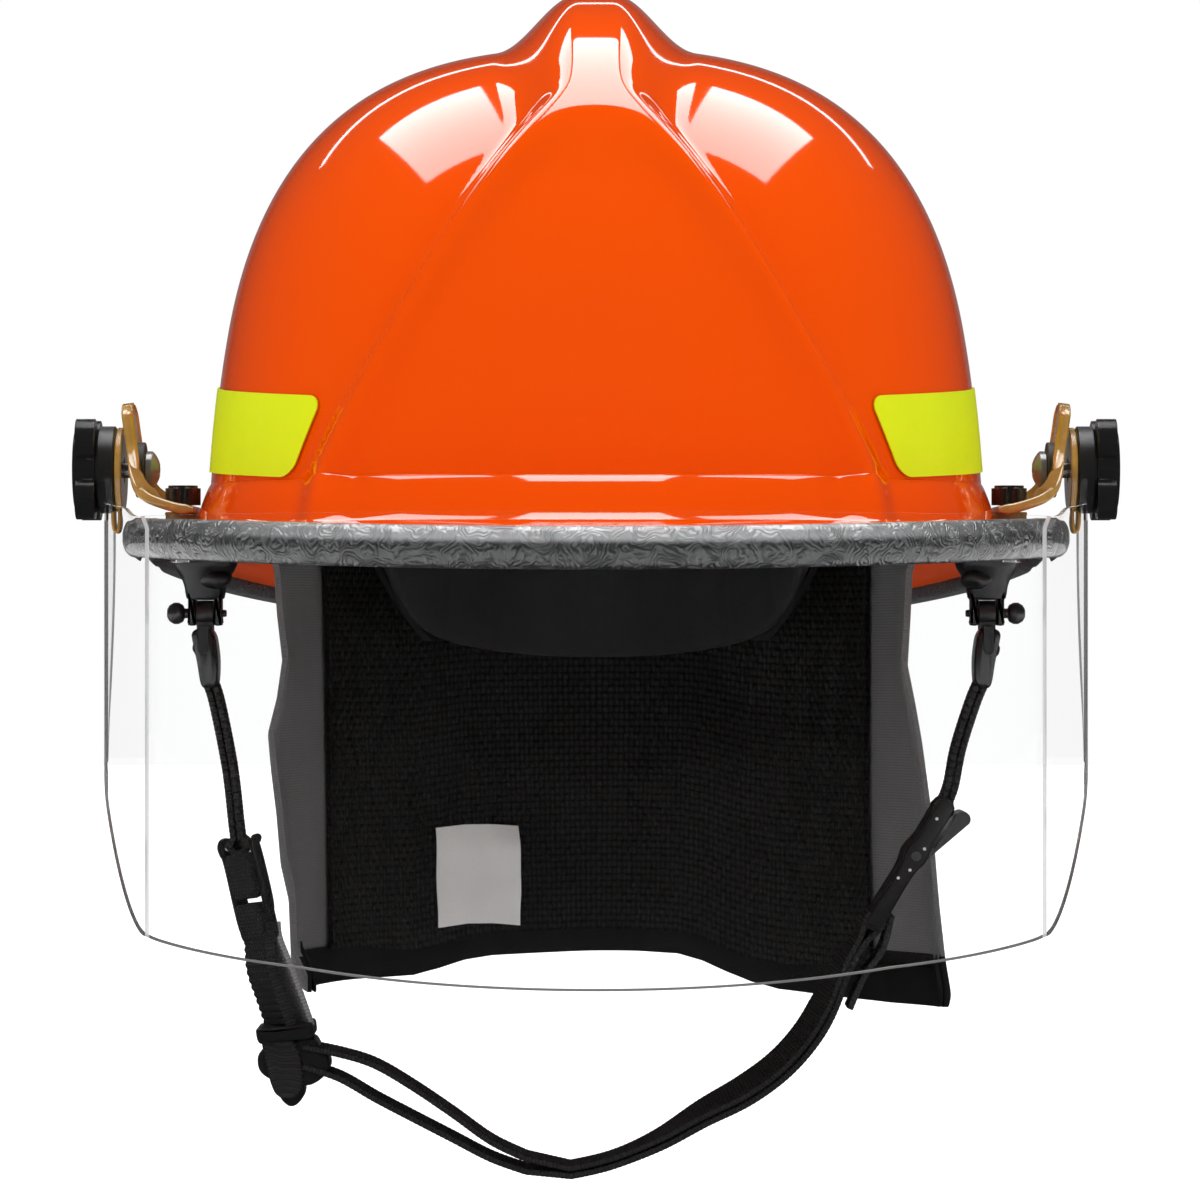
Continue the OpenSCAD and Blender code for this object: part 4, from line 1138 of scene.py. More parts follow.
@dataclass
class BrimTrim:
    """Rubber bead that grips the brim's edge."""

    shell: Shell
    out: float = 3.0
    height: float = 12.0
    grip: float = 5.2
    around: int = 640

    def section(self) -> Array:
        """Outline of the bead: a round outer face, symmetric in height, and a slot for the brim.

        Returns:
            Rows of distance outwards and height.
        """
        h, slot = self.height, self.shell.wall / 2 + 0.1
        upper = np.array([[-self.grip, slot + 0.6], [-4.4, 0.42 * h], [-2.2, 0.485 * h], [0.1, 0.49 * h],
                          [2.0, 0.36 * h], [2.9, 0.16 * h]])
        curve = catmull(np.vstack([upper, [self.out, 0], upper[::-1] * [1, -1]]), 4)
        return np.vstack([curve, [[-self.grip, -slot], [0.1, -slot], [0.1, slot], [-self.grip, slot]]])

    def build(self) -> None:
        """Carries the section round the brim's edge, and marks where the bead's colour is painted paler as a
        highlight.
        """
        section = self.section()
        th = self.shell.meridian(self.around)
        ex, ey = self.shell.edge(th, 0.0)
        _, fy = self.shell.edge(th, self.shell.edge_inset)
        a, wide = np.radians(th), self.shell.half + self.shell.brim_side
        side = unit(merged(np.cos(a) / wide, np.sin(a) / self.shell.reach(a)))
        rings = merged(
            ex[:, None] + section[:, 0] * side[:, :1],
            ey[:, None] + section[:, 0] * side[:, 1:],
            self.shell.edge_z(fy)[:, None] + section[:, 1],
        )
        trim = tube(rings, True).place("brim_trim", 50)
        share = section[None, :, 1] / self.height
        # painted highlight: the bead's upper face, most towards the front, and its lower face at the back are
        # marked to be painted paler
        painted_highlight = smooth((share - 0.06) / 0.16) * (0.12 + 0.88 * smooth((-fy[:, None] - 90) / 80))
        painted_highlight = painted_highlight + 0.35 * smooth((0.1 - share) / 0.4) * smooth((fy[:, None] - 10) / 60)
        layer = trim.data.attributes.new("painted_highlight", "FLOAT", "POINT")
        layer.data.foreach_set("value", painted_highlight.astype(np.float32).ravel())
        finished(trim, Body.HELMET, RUBBER, "edge_trim")


@dataclass
class Tapes:
    """Reflective strips on the foot of the dome, with round corners."""

    shell: Shell
    low: float = 16.3
    high: float = 39.5
    thick: float = 0.5
    gap: float = 0.25
    length: float = 110.0
    corner: float = 4.5

    def strip(self, front: tuple[float, float], rear: tuple[float, float], climb: float, side: int) -> Skin:
        """One strip.

        Args:
            front: azimuths of its front end, low and high.
            rear: azimuths of its rear end.
            climb: how much it rises from front to rear.
            side: 1 or -1 for the side of the helmet.

        Returns:
            The closed mesh.
        """
        u, v = eased(90)[:, None], eased(24)[None, :]
        near = np.minimum(u, 1 - u) * self.length / self.corner
        trim = self.corner * (1 - np.sqrt(np.clip(1 - (1 - np.minimum(near, 1)) ** 2, 0, 1)))
        w = 0.5 + (v - 0.5) * (1 - 2 * trim / (self.high - self.low))
        az = mix(mix(front[0], front[1], w), mix(rear[0], rear[1], w), u)
        z = mix(self.low + 1.35 * climb * u, self.high + 2 * climb * u, w)
        off = self.gap + 0.3 * smooth(1 - 8 * u)
        outer, inner = (self.shell.skin_at(az, z, o) * [side, 1, 1] for o in (off + self.thick, off))
        return slab(outer, inner)

    def build(self) -> None:
        """Makes a front and a rear strip on each side."""
        ends = (((41.5, 36.0), (100.0, 98.0), 4.0), ((126.0, 128.0), (156.0, 152.0), 0.0))
        strips = [self.strip(*end, side) for side in (-1, 1) for end in ends]
        finished(joined(*strips).place("lime_tapes", 50), Body.HELMET, LIME, "reflective_tapes")


# Face shield and its pivots


class LensPart(IntEnum):
    """Material slots of the lens."""

    CLEAR = 0
    EDGE = 1
    CREASE = 2
    WING = 3


@dataclass
class FaceShield:
    """Clear lens with two creases, a lip along its top and a round lobe at each pivot."""

    half: float = 149.8
    front: float = 190.5
    thick: float = 1.3
    drop: float = 126.0
    lip: float = 5.0
    rear: float = 16.0
    rise: float = 10.8
    corner_power: float = 1.8
    crease_x: float = 128.8
    crease_back: float = 78.5
    crease_round: float = 9.0
    bend_r: float = 99.0
    bend_a: float = 12.8
    bend_y: float = -8.0
    lobe: float = 12.6
    lip_flare: float = 1.2
    crease_from: float = 127.4
    crease_to: float = 128.9
    wing_y: float = -60.0
    wing_z: float = 5.5
    rows: int = 70
    edge_rows: int = 3

    def plan(self) -> tuple[Array, Array]:
        """Right half of the lens in plan: an arc, a straight wing and a bend to the flat at the pivot.

        Returns:
            Points of the outer face, and outward directions.
        """
        sag = self.crease_back
        r = (self.crease_x**2 + sag**2) / (2 * sag)
        a = np.linspace(0, math.asin(self.crease_x / r), 90)
        arc = merged(r * np.sin(a), -self.front + r - r * np.cos(a))
        b = np.radians(np.linspace(self.bend_a, 0, 16))
        bend = merged(self.half - self.bend_r * (1 - np.cos(b)), self.bend_y - self.bend_r * np.sin(b))
        wing = mix(arc[-1], bend[0], np.linspace(0, 1, 40)[1:-1, None])
        tail = merged(self.half, mix(self.bend_y, self.rear, eased(27)[1:]))
        line = np.vstack([arc, wing, bend, tail])
        near, far = line[np.hypot(*(line - arc[-1]).T) < self.crease_round][[0, -1]]
        s = np.linspace(0, 1, 22)[:, None]
        curve = (1 - s) ** 2 * near + 2 * s * (1 - s) * arc[-1] + s**2 * far
        line = np.vstack([line[line[:, 1] < near[1]], curve, line[line[:, 1] > far[1]]])
        return line, -left_of(line)

    def top(self, y: Array) -> Array:
        """Height of the lens's top at y: the lip, a rise and the lobe's circle.

        Args:
            y: distances behind the middle.

        Returns:
            Heights in mm.
        """
        ramp = np.interp(y, [-400, -110, -70, -46, -26, -12], [self.lip, self.lip, 8, 9, 10, 11])
        ramp = np.where(y < -60, mix(self.lip, ramp, smooth((y + 112) / 50)), ramp)
        rise = np.sqrt(np.clip(1 - ((y - PIVOT_Y) / self.lobe) ** 2, 0, None))
        return np.where(y > PIVOT_Y - self.lobe, np.maximum(PIVOT_Z + self.lobe * rise, ramp), ramp)

    def bottom(self, y: Array) -> Array:
        """Height of the lens's bottom at y: it rises to the crease, and a long oval corner follows.

        Args:
            y: distances behind the middle.

        Returns:
            Heights in mm.
        """
        crease = self.crease_back - self.front
        ahead = -self.drop + np.interp(y, [-200, -self.front + 25, crease], [-0.5, 5.5, self.rise])
        share = np.clip((y - crease) / (self.rear - crease), 0, 1)
        p = self.corner_power
        return np.where(y < crease, ahead, -(self.drop - self.rise) * (1 - share**p) ** (1 / p))

    def slots(self, x: Array, centre: Array) -> Array:
        """Material slot of each face: edge lines in painted shade, the two creases with a painted highlight,
        and the wings behind them.

        Args:
            x: distances of the plan's points to the side.
            centre: centres of all faces in mm, the outer grid's first.

        Returns:
            Slot numbers.
        """
        part = np.full((len(x) - 1, self.rows - 1), LensPart.CLEAR)
        part[:, : self.edge_rows] = part[:2] = part[-2:] = LensPart.EDGE
        middle = (np.abs(x[:-1] + x[1:]) / 2)[:, None]
        part = np.where((part == LensPart.CLEAR) & (middle > self.crease_to), LensPart.WING, part)
        creased = (middle > self.crease_from) & (middle < self.crease_to)
        bent = np.where(creased, LensPart.CREASE, part)
        slots = np.full(len(centre), LensPart.EDGE)
        slots[: 2 * part.size] = np.concatenate([bent.ravel(), part.ravel()])
        slots[(centre[:, 1] > self.wing_y) & (centre[:, 2] > self.wing_z)] = LensPart.WING
        return slots

    def build(self) -> None:
        """Makes the lens, whose lip flares outwards, and gives each part of it its finish, with painted shade
        on its edges and a painted highlight on its creases.
        """
        line, out = self.plan()
        line, out = (np.vstack([half[:0:-1] * [-1, 1], half]) for half in (line, out))
        low, high = self.bottom(line[:, 1])[:, None], self.top(line[:, 1])[:, None]
        z = mix(low, high, eased(self.rows))
        flare = self.lip_flare * smooth((z - (high - 4)) / 4) * smooth((self.wing_y - line[:, 1:]) / 40)
        faces = []
        for inset in (0.0, self.thick):
            x, y = (line[:, k, None] + out[:, k, None] * (flare - inset) for k in (0, 1))
            faces.append(merged(x, y, z))
        lens = slab(*faces).place("lens_clear", 30)
        bevelled(lens, 0.35, 50)
        finished(lens, Body.SHIELD, CLEAR, "lens")
        for finish in (LENS_EDGE_SHADE, LENS_CREASE_HIGHLIGHT, CLEAR_WING):
            lens.data.materials.append(finish.material())
        slots = self.slots(line[:, 0], face_centres(lens))
        lens.data.polygons.foreach_set("material_index", slots.astype(np.int32))
        lens.visible_shadow = False


@dataclass
class PivotSet:
    """Amber brackets with a curved ear, and the hardware of both pivots."""

    shell: Shell
    flange_x: float = 121.5
    flange_z: float = 6.8
    thick: float = 3.0
    y0: float = -29.0
    y1: float = 18.0
    ear_top: float = 41.5
    ear_half: float = 12.0
    screw_out: float = 10.0
    screw_y: float = -10.0

    def ear_line(self) -> Array:
        """Middle of the bracket in the XZ plane: a flat foot, a bend and an ear that leans outwards.

        Returns:
            Rows of x and z.
        """
        z = self.flange_z + self.thick / 2
        foot = [[self.flange_x, z], [126, z + 0.4], [131, z + 1.8], [135.4, z + 3.6], [138.2, z + 6.0]]
        ear = [[139.8, 17.8], [141.0, 22.0], [142.1, 28.0], [143.0, 34.0], [144.0, 41.4]]
        return catmull(foot + ear, 7)

    def band(self, side: int) -> Skin:
        """The curved band of one bracket.

        Args:
            side: 1 or -1 for the side of the helmet.

        Returns:
            The closed mesh.
        """
        line = evenly(self.ear_line(), 0.7)
        out, z = -left_of(line), line[:, 1]
        r = self.ear_top - PIVOT_Z
        round_top = np.sqrt(np.clip(r**2 - np.clip(z - PIVOT_Z, 0, r) ** 2, 0, None))
        wide = smooth((z - 9) / 20)
        front, rear = (
            np.minimum(mix(foot, self.ear_half, wide), np.where(z > start, round_top, 99))[:, None]
            for foot, start in ((PIVOT_Y - self.y0, PIVOT_Z + 6), (self.y1 - PIVOT_Y, PIVOT_Z))
        )
        v = eased(36)
        y = PIVOT_Y + mix(-front, rear, v)
        ends = smooth(np.arange(len(line)) / 4)[:, None]
        edge = np.minimum(v, 1 - v) * (front + rear)
        drop = 1 - (1 - np.clip((edge + 0.25) / 1.1, 0, 1)) ** 2
        half = self.thick / 2 * np.sqrt(np.clip(drop, 0.05, 1)) * mix(0.6, 1, ends)
        rim = 0.5 * smooth(1 - np.abs(edge - 2.0) / 1.4) * smooth((z - 18) / 6)[:, None]
        faces = []
        for depth in (half, -half - rim):
            x, height = (line[:, k, None] + out[:, k, None] * depth for k in (0, 1))
            faces.append(merged(x * side, y, height))
        return slab(*faces)

    def gusset(self, side: int, y: float) -> Skin:
        """A thin curved rib in the bracket's bend.

        Args:
            side: 1 or -1 for the side of the helmet.
            y: its middle.

        Returns:
            The closed mesh.
        """
        line = self.ear_line()[12:44]
        u = np.linspace(0, 1, len(line))[:, None]
        inner = mix(line, line + [-2.2, 2.4], smooth(u * 3) * smooth((1 - u) * 3) + 0.05)
        rib = np.stack([line, inner], axis=1) * [side, 1]
        return slab(upright(rib, y - 1.2), upright(rib, y + 1.2))

    def build(self) -> None:
        """Makes the brackets and dresses the pivots' hardware."""
        x = self.shell.half + self.screw_out
        top = float(self.shell.brim_top(np.array(self.screw_out / 19.0), np.array(0.0)))
        for side, name in ((-1, "left"), (1, "right")):
            boss = bar([x * side, self.screw_y, top + 0.4], [x * side, self.screw_y, self.flange_z + 1], 11)
            ribs = self.gusset(side, self.y0 + 5), self.gusset(side, self.y1 - 5)
            bracket = joined(self.band(side), *ribs, boss).place(f"bracket_{name}_curved")
            finished(bracket, Body.HELMET, AMBER, f"bracket_{name}")
        self.plates()
        dressed(
            ("pivot_washers", "round", Body.HELMET, WASHER, 0.4),
            ("pivot_screws", "bright", Body.HELMET, SCREW, 0.25),
            ("knob_left", "lobed", Body.LEFT_KNOB, GLOSSY, 0.9),
            ("knob_right", "lobed", Body.RIGHT_KNOB, GLOSSY, 0.9),
            ("bracket_screws", "black", Body.HELMET, GLOSSY, 1.0),
            ("bracket_nuts", "steel", Body.HELMET, STEEL, 0.3),
        )

    def plates(self) -> None:
        """Makes the black collars round the lens's lobes, and the amber plates with a loop below each."""
        collar = [[4.0, 147.2], [12.6, 147.2], [13.4, 147.8], [13.4, 152.2], [12.8, 152.9], [4.0, 152.9]]
        plate = [[4.0, 145.05], [12.6, 145.05], [13.0, 145.4], [13.0, 146.7], [12.6, 147.1], [4.0, 147.1]]
        a = np.linspace(0, 2 * np.pi, 48, endpoint=False)
        collars, plates = [], []
        for side in (-1, 1):
            at = np.array([0.0, PIVOT_Y, PIVOT_Z])
            collars.append(hoop(collar, 72, at, side * X_AXIS))
            x, z = 146.85 + 1.05 * spow(np.cos(a), 0.7), 8.6 + 6.6 * spow(np.sin(a), 0.8)
            loop = ribbon(merged(side * x, PIVOT_Y, z), Y_AXIS, rounded_rect(7.0, 1.2, 0.55, 4), True)
            plates += [hoop(plate, 72, at, side * X_AXIS), loop]
        finished(joined(*collars).place("shield_collars_round", 40), Body.SHIELD, MOULDED, "shield_collars")
        finished(joined(*plates).place("shield_plates_round", 40), Body.SHIELD, AMBER, "shield_plates")


# Suspension


@dataclass
class Suspension:
    """Foam cap, head band, pads, crown straps and the size knob inside the helmet."""

    shell: Shell
    band_w: float = 156.0
    band_l: float = 196.0
    pad_gap: float = 0.4
    nape_thick: float = 7.0
    nape_low: float = -38.0
    nape_high: float = 20.0
    nape_rise: float = 56.0
    brow_thick: float = 6.0
    brow_low: float = 5.0
    brow_high: float = 35.0
    foam: float = 12.0
    foam_gap: float = 0.5
    foam_low: float = 32.0
    crown_z: float = 114.8
    strap_foot: float = 50.4
    strap_top: float = 118.0

    def pad(self, thick: float, lo: Array, hi: Array, az: Array) -> Skin:
        """A soft pad along the band's inside: its section is a rounded cushion.

        Args:
            thick: thickness at the middle.
            lo: heights of its lower edge, one for each azimuth.
            hi: heights of its upper edge.
            az: azimuths in degrees.

        Returns:
            The closed mesh.
        """
        a, half = np.radians(az), np.array([self.band_w / 2, self.band_l / 2])
        ring = merged(np.cos(a), np.sin(a))
        section = rounded_rect(1.0, 1.0, 0.42, 6, 8)
        run = np.arange(len(az))
        ends = np.clip(np.minimum(run, run[::-1]) / 6, 0, 1)
        ends = np.sqrt(np.clip(1 - (1 - ends) ** 2, 0.03, 1))
        quilt = 1 - 0.14 * (np.abs(np.sin(np.pi * run / 14)) < 0.16)
        depth = -self.pad_gap - thick * (0.5 - section[:, 1] * (ends * quilt)[:, None])
        z = ((lo + hi) / 2)[:, None] + (hi - lo)[:, None] * section[:, 0] * mix(0.7, 1, ends)[:, None]
        flat = (ring * half)[:, None] + unit(ring / half)[:, None] * depth[..., None]
        return tube(merged(flat[..., 0], flat[..., 1], z))

    def padding(self, skin: Skin, name: str) -> None:
        """Makes a stuffed pad in place of its CAD node."""
        finished(skin.place(f"{name}_soft", 60), Body.HELMET, PAD, name)

    def build(self) -> None:
        """Makes the pads, foam and straps, and dresses the moulded pieces."""
        az = np.linspace(22, 158, 120)
        c = np.abs(np.cos(np.radians(az)))
        low = self.nape_low + self.nape_rise * (0.26 * c**2.4 + 1.3 * c**12)
        high = np.minimum(self.nape_high, low + self.nape_high - self.nape_low)
        nape = self.pad(self.nape_thick, low + 0.5, high, az)
        self.padding(nape, "nape_pad")
        az = np.linspace(186, 354, 150)
        brow = self.pad(self.brow_thick, np.full(150, self.brow_low), np.full(150, self.brow_high), az)
        self.padding(brow, "brow_pad")
        cushion = [[0, -5], [22, -5.8], [33, -7], [38, -6], [38.8, -4.4], [36, -2.8], [26, -1.3], [10, -0.2],
                   [0, 0]]
        self.padding(spun(catmull(cushion, 5), 72, self.crown_z * Z_AXIS, Z_AXIS), "crown_pad")
        self.crown_straps()
        self.cap()
        dressed(
            ("suspension_keys", "round", Body.HELMET, MOULDED, 0.5),
            ("headband", "round", Body.HELMET, MOULDED, 0.35),
            ("ratchet_housing", "round", Body.HELMET, MOULDED, 0.8),
            ("ratchet_knob", "round", Body.SIZE_KNOB, MOULDED, 0.5),
        )

    def crown_straps(self) -> None:
        """Makes the two straps that cross over the head."""
        corner = (0.5 / (self.band_w / 2) ** 2 + 0.5 / (self.band_l / 2) ** 2) ** -0.5
        a = np.radians(np.linspace(0, 180, 200))
        r = (corner + 9.3) * spow(np.cos(a), 0.8)
        section = rounded_rect(15, 1.3, 0.5, 3, 4)
        skins = []
        for turn, level in ((45, 0.0), (135, 1.5)):
            z = self.strap_foot + (self.strap_top - level - self.strap_foot - 0.7) * np.sin(a) ** 0.9
            c, s = math.cos(math.radians(turn)), math.sin(math.radians(turn))
            line = evenly(merged(r * c, r * s, z), 0.8)
            skins.append(ribbon(line, np.array([-s, c, 0.0]), section, rib=0.05))
        finished(joined(*skins).place("crown_straps_woven", 50), Body.HELMET, WEBBING, "crown_straps")

    def cap(self) -> None:
        """Makes the foam cap."""
        th = np.arange(120)[None, :] * 3.0
        outer = -self.shell.wall - self.foam_gap
        faces, poles = [], []
        for off, rows in ((outer, 30), (outer - self.foam, 26)):
            faces.append(self.shell.plain_dome(th, self.shell.dome_angles(self.foam_low, off, rows), off))
            poles.append((self.shell.height + off) * Z_AXIS)
        skin = domed(np.concatenate([faces[0], faces[1][::-1]]), np.array(poles))
        finished(skin.place("foam_cap", 50), Body.HELMET, FOAM, "impact_cap")


# Neck cape


@dataclass
class NeckCape:
    """Hanging cloth cape with a hemmed edge, a mesh lining and a blank label."""

    shell: Shell
    reach: float = 83.0
    arc_radius: float = 128.0
    chart_drop: float = 151.0
    thick: float = 2.4
    lining: float = 1.4
    gap: float = 1.1
    lining_half: float = 0.76
    fold: float = 4.5
    wrinkle: float = 0.7
    below: float = 158.0
    seam_in: float = 11.0
    hem_z: float = -130.5
    label_ends: tuple[float, float] = (-0.41, -0.19)
    hem_at: tuple[float, ...] = (
        -1.0, -0.8, -0.6, -0.47, -0.4, -0.33, -0.26, -0.1, 0.1, 0.2, 0.26, 0.32, 0.38, 0.45, 0.6, 0.8, 1.0,
    )
    hem_drop: tuple[float, ...] = (
        141.7, 142.0, 142.6, 143.0, 141.4, 139.0, 138.0, 137.8, 137.2, 137.5, 139.6, 143.2, 146.2, 148.0,
        148.6, 147.6, 146.2,
    )
    edge_at: tuple[float, ...] = (0.0, 0.17, 0.26, 0.35, 0.43, 0.5, 0.57, 0.65, 0.75, 0.82, 0.94, 1.0)
    edge_left: tuple[float, ...] = (
        110.0, 100.5, 99.5, 97.8, 99.6, 102.4, 101.4, 99.8, 98.4, 95.8, 95.0, 90.5,
    )
    edge_right: tuple[float, ...] = (
        110.0, 98.6, 97.9, 97.0, 99.6, 101.6, 103.2, 104.9, 106.2, 107.2, 109.4, 111.0,
    )

    def point(self, u: Array, v: Array, inset: Array | float) -> Array:
        """Point of the cape: an oval in plan, narrower below the shell, with folds that grow downwards.

        Args:
            u: from -1 at the left front edge to 1 at the right one.
            v: from 0 at the top to 1 at the bottom.
            inset: distance inside the outer face.

        Returns:
            Points in mm.
        """
        s, a, far = self.shell, self.reach * u, np.abs(u)
        rad = np.radians(a)
        grow = smooth(1.4 * v)
        fold = self.fold * grow * (np.cos(np.radians(7 * a + 40)) + 0.5 * np.cos(np.radians(11 * a))) / 1.5
        small = self.wrinkle * grow * np.sin(np.radians(19 * a + 60 * v)) * np.sin(3.1 * v + 0.02 * a)
        w = mix(s.half - s.wall - 0.4, s.half - 15, smooth(v / 0.16)) + 6 * v * v * np.clip(u, 0, None)
        rx = w - inset + 0.35 * fold * np.cos(rad) - 1.5 * grow + small * 0.4
        ry = mix(s.rear - s.wall - 0.4, self.below, v) - inset + fold + small - 4 * grow
        e = 2 / mix(s.plan_power, 2.0, v)
        corner = 6 * (1 - np.sqrt(1 - np.clip((far - 0.967) / 0.033, 0, 1) ** 2))
        low = corner - np.interp(u, self.hem_at, self.hem_drop)
        left, right = (np.interp(v, self.edge_at, edge) - inset for edge in (self.edge_left, self.edge_right))
        pull = smooth((far - 0.8) / 0.2) * smooth((v - 0.06) / 0.1)
        x = mix(rx * spow(np.sin(rad), e), np.where(u < 0, -left, right), pull)
        return merged(x, ry * spow(np.cos(rad), e) + 6 * v, mix(s.foot + 2, low, v))

    def patch(self, u: Array, v: Array, out: Array | float, thick: Array | float) -> Skin:
        """Sheet between two insets, with a map of its arc and height in mm.

        Args:
            u: places from -1 at the left front edge to 1 at the right one.
            v: shares of the drop, for each u or for all.
            out: inset of its outer face.
            thick: its thickness.

        Returns:
            The closed mesh.
        """
        u, v = np.broadcast_arrays(u[:, None], v)
        chart = merged(np.radians(u * self.reach) * self.arc_radius, v * self.chart_drop)
        return slab(self.point(u, v, out), self.point(u, v, out + thick), chart)

    def build(self) -> None:
        """Makes the cloth, its hem, the lining and the label."""
        self.cloth()
        self.inside()
        self.label()

    def cloth(self) -> None:
        """Makes the cloth: a seam runs inside its edge, and its lower wall shows the hem's finish."""
        u, v = np.linspace(-1, 1, 330), np.linspace(0, 1, 110)
        edge = np.minimum((1 - np.abs(u))[:, None] * 185, (1 - v) * self.chart_drop)
        seam = 0.5 * np.exp(-((edge - self.seam_in) / 0.9) ** 2)
        thinner = 0.55 * smooth(1 - edge / 1.2) + seam - 0.35 * smooth(1 - np.abs(edge - 5.5) / 5.0)
        cloth = self.patch(u, v, thinner, self.thick - 2 * thinner).place("cape_cloth_hung", 60)
        finished(cloth, Body.HELMET, CLOTH, "neck_cape")
        cloth.data.materials.append(HEM.material())
        height = face_centres(cloth)[:, 2]
        outer_faces = (len(u) - 1) * (len(v) - 1)
        hemmed = (height < self.hem_z) & (np.arange(len(height)) >= outer_faces)
        cloth.data.polygons.foreach_set("material_index", hemmed.astype(np.int32))

    def inside(self) -> None:
        """Makes the hem's roll and the rippled lining above it; both start higher towards their ends."""
        u, roll = np.linspace(-0.9997, 0.9997, 300), np.linspace(0, 1, 16)
        start = (0.945 - 0.018 * smooth((np.abs(u) - 0.35) / 0.4))[:, None]
        hem = self.patch(u, mix(start, 0.9995, roll), self.thick + 0.45, 0.5 + 0.7 * np.sin(np.pi * roll))
        finished(hem.place("cape_hems", 60), Body.HELMET, HEM)
        u = np.linspace(-self.lining_half, self.lining_half, 260)
        v = mix(0.03, (0.952 - 0.022 * smooth((np.abs(u) - 0.35) / 0.4))[:, None], np.linspace(0, 1, 100))
        ripple = 0.35 * np.sin(u[:, None] * 60 + 9 * v) * smooth(2 * v)
        lining = self.patch(u, v, self.thick + self.gap + ripple, self.lining).place("cape_lining_mesh", 60)
        finished(lining, Body.HELMET, MESH, "cape_lining")

    def label(self) -> None:
        """Makes the label, which slopes and curls off the lining at its right."""
        side = np.linspace(0, 1, 40)
        s, t = side[:, None], side[None, :]
        v = mix(mix(0.704, 0.722, s), mix(0.912, 0.937, s), t)
        curl = 3.0 * smooth((s - 0.55) * 1.8) * smooth((0.5 - np.abs(t - 0.42)) * 3) + 0.3 * np.sin(t * 9)
        inset = self.thick + self.gap + self.lining + 0.9 + curl
        label = self.patch(mix(*self.label_ends, side), v, inset, 0.35)
        finished(label.place("cape_label", 60), Body.HELMET, LABEL, "cape_tag")


# Chin strap and stowage ring


